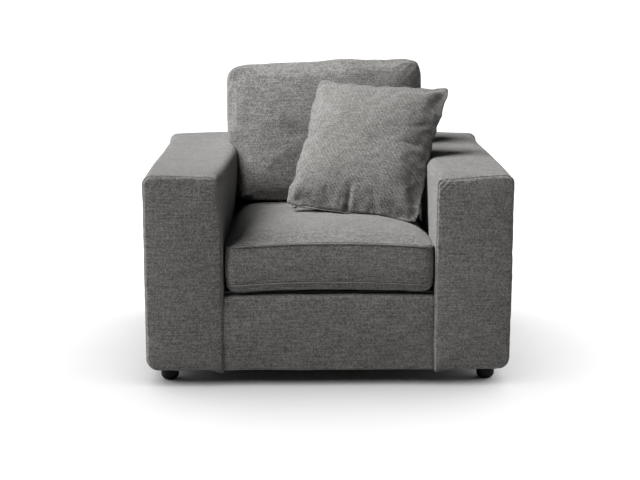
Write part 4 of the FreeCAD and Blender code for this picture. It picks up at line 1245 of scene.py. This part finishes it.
def pale_floor():
    mesh = bpy.data.meshes.new("floor")
    corners = [(x * FLOOR_REACH, y * FLOOR_REACH, 0) for x, y in ((-1, -1), (1, -1), (1, 1), (-1, 1))]
    mesh.from_pydata(corners, [], [(0, 1, 2, 3)])
    floor = bpy.data.objects.new("floor", mesh)
    bpy.context.scene.collection.objects.link(floor)
    graph = Graph("pale_floor", roughness=0.85)
    tone = graph.noise(graph.coordinates.outputs["Object"], 3.0)
    low, high = FLOOR_TONES
    graph.colour(graph.ramp(tone, [(0.3, (low,) * 3), (0.7, (high,) * 3)]))
    mesh.materials.append(graph.material)
    return floor


def add_light(light, towards, lit, place_at=(0.0, 0.0, 0.0)):
    """Puts a light whose back points along towards, and that lights only the lit collection."""
    holder = bpy.data.objects.new(light.name, light)
    holder.location = place_at
    holder.rotation_euler = Vector(towards).to_track_quat("Z", "Y").to_euler()
    bpy.context.scene.collection.objects.link(holder)
    holder.light_linking.receiver_collection = lit


def lights(floor):
    """A soft key and an accent for the chair, and a broad sky for the floor alone."""
    chair_only = bpy.data.collections.new("lit_by_key")
    for piece in bpy.context.scene.collection.all_objects:
        if piece is not floor:
            chair_only.objects.link(piece)
    floor_only = bpy.data.collections.new("lit_by_sky")
    floor_only.objects.link(floor)
    for name, towards, angle, strength, lit in (
        ("key", KEY_FROM, KEY_ANGLE, KEY_STRENGTH, chair_only),
        ("sky", SKY_FROM, SKY_ANGLE, SKY_STRENGTH, floor_only),
    ):
        sun = bpy.data.lights.new(name, "SUN")
        sun.angle = math.radians(angle)
        sun.energy = strength
        add_light(sun, towards, lit)
    spot = bpy.data.lights.new("accent", "SPOT")
    spot.energy = ACCENT_POWER
    spot.spot_size = math.radians(ACCENT_CONE)
    spot.spot_blend = 1.0
    spot.shadow_soft_size = ACCENT_SOFTNESS
    add_light(spot, Vector(ACCENT_PLACE) - Vector(ACCENT_AIM), chair_only, ACCENT_PLACE)


def camera():
    scene = bpy.context.scene
    data = bpy.data.cameras.new("camera")
    data.lens = CAMERA_LENS
    data.sensor_width = 36.0
    holder = bpy.data.objects.new("camera", data)
    holder.location = CAMERA_PLACE
    holder.rotation_euler = (math.pi / 2 - CAMERA_PITCH, 0.0, -CAMERA_YAW)
    scene.collection.objects.link(holder)
    scene.camera = holder


dress_cad_nodes()
arms = [
    arm_piece(-1, "arm_left_cover", "arm_left_padding", 11),
    arm_piece(1, "arm_right_cover", "arm_right_padding", 21),
]
apron()
inside_back()
outside_back()
seat = seat_cushion(arms)
back = back_cushion([seat, *arms])
throw_pillow([seat, back, *arms])
surroundings()
lights(pale_floor())
camera()
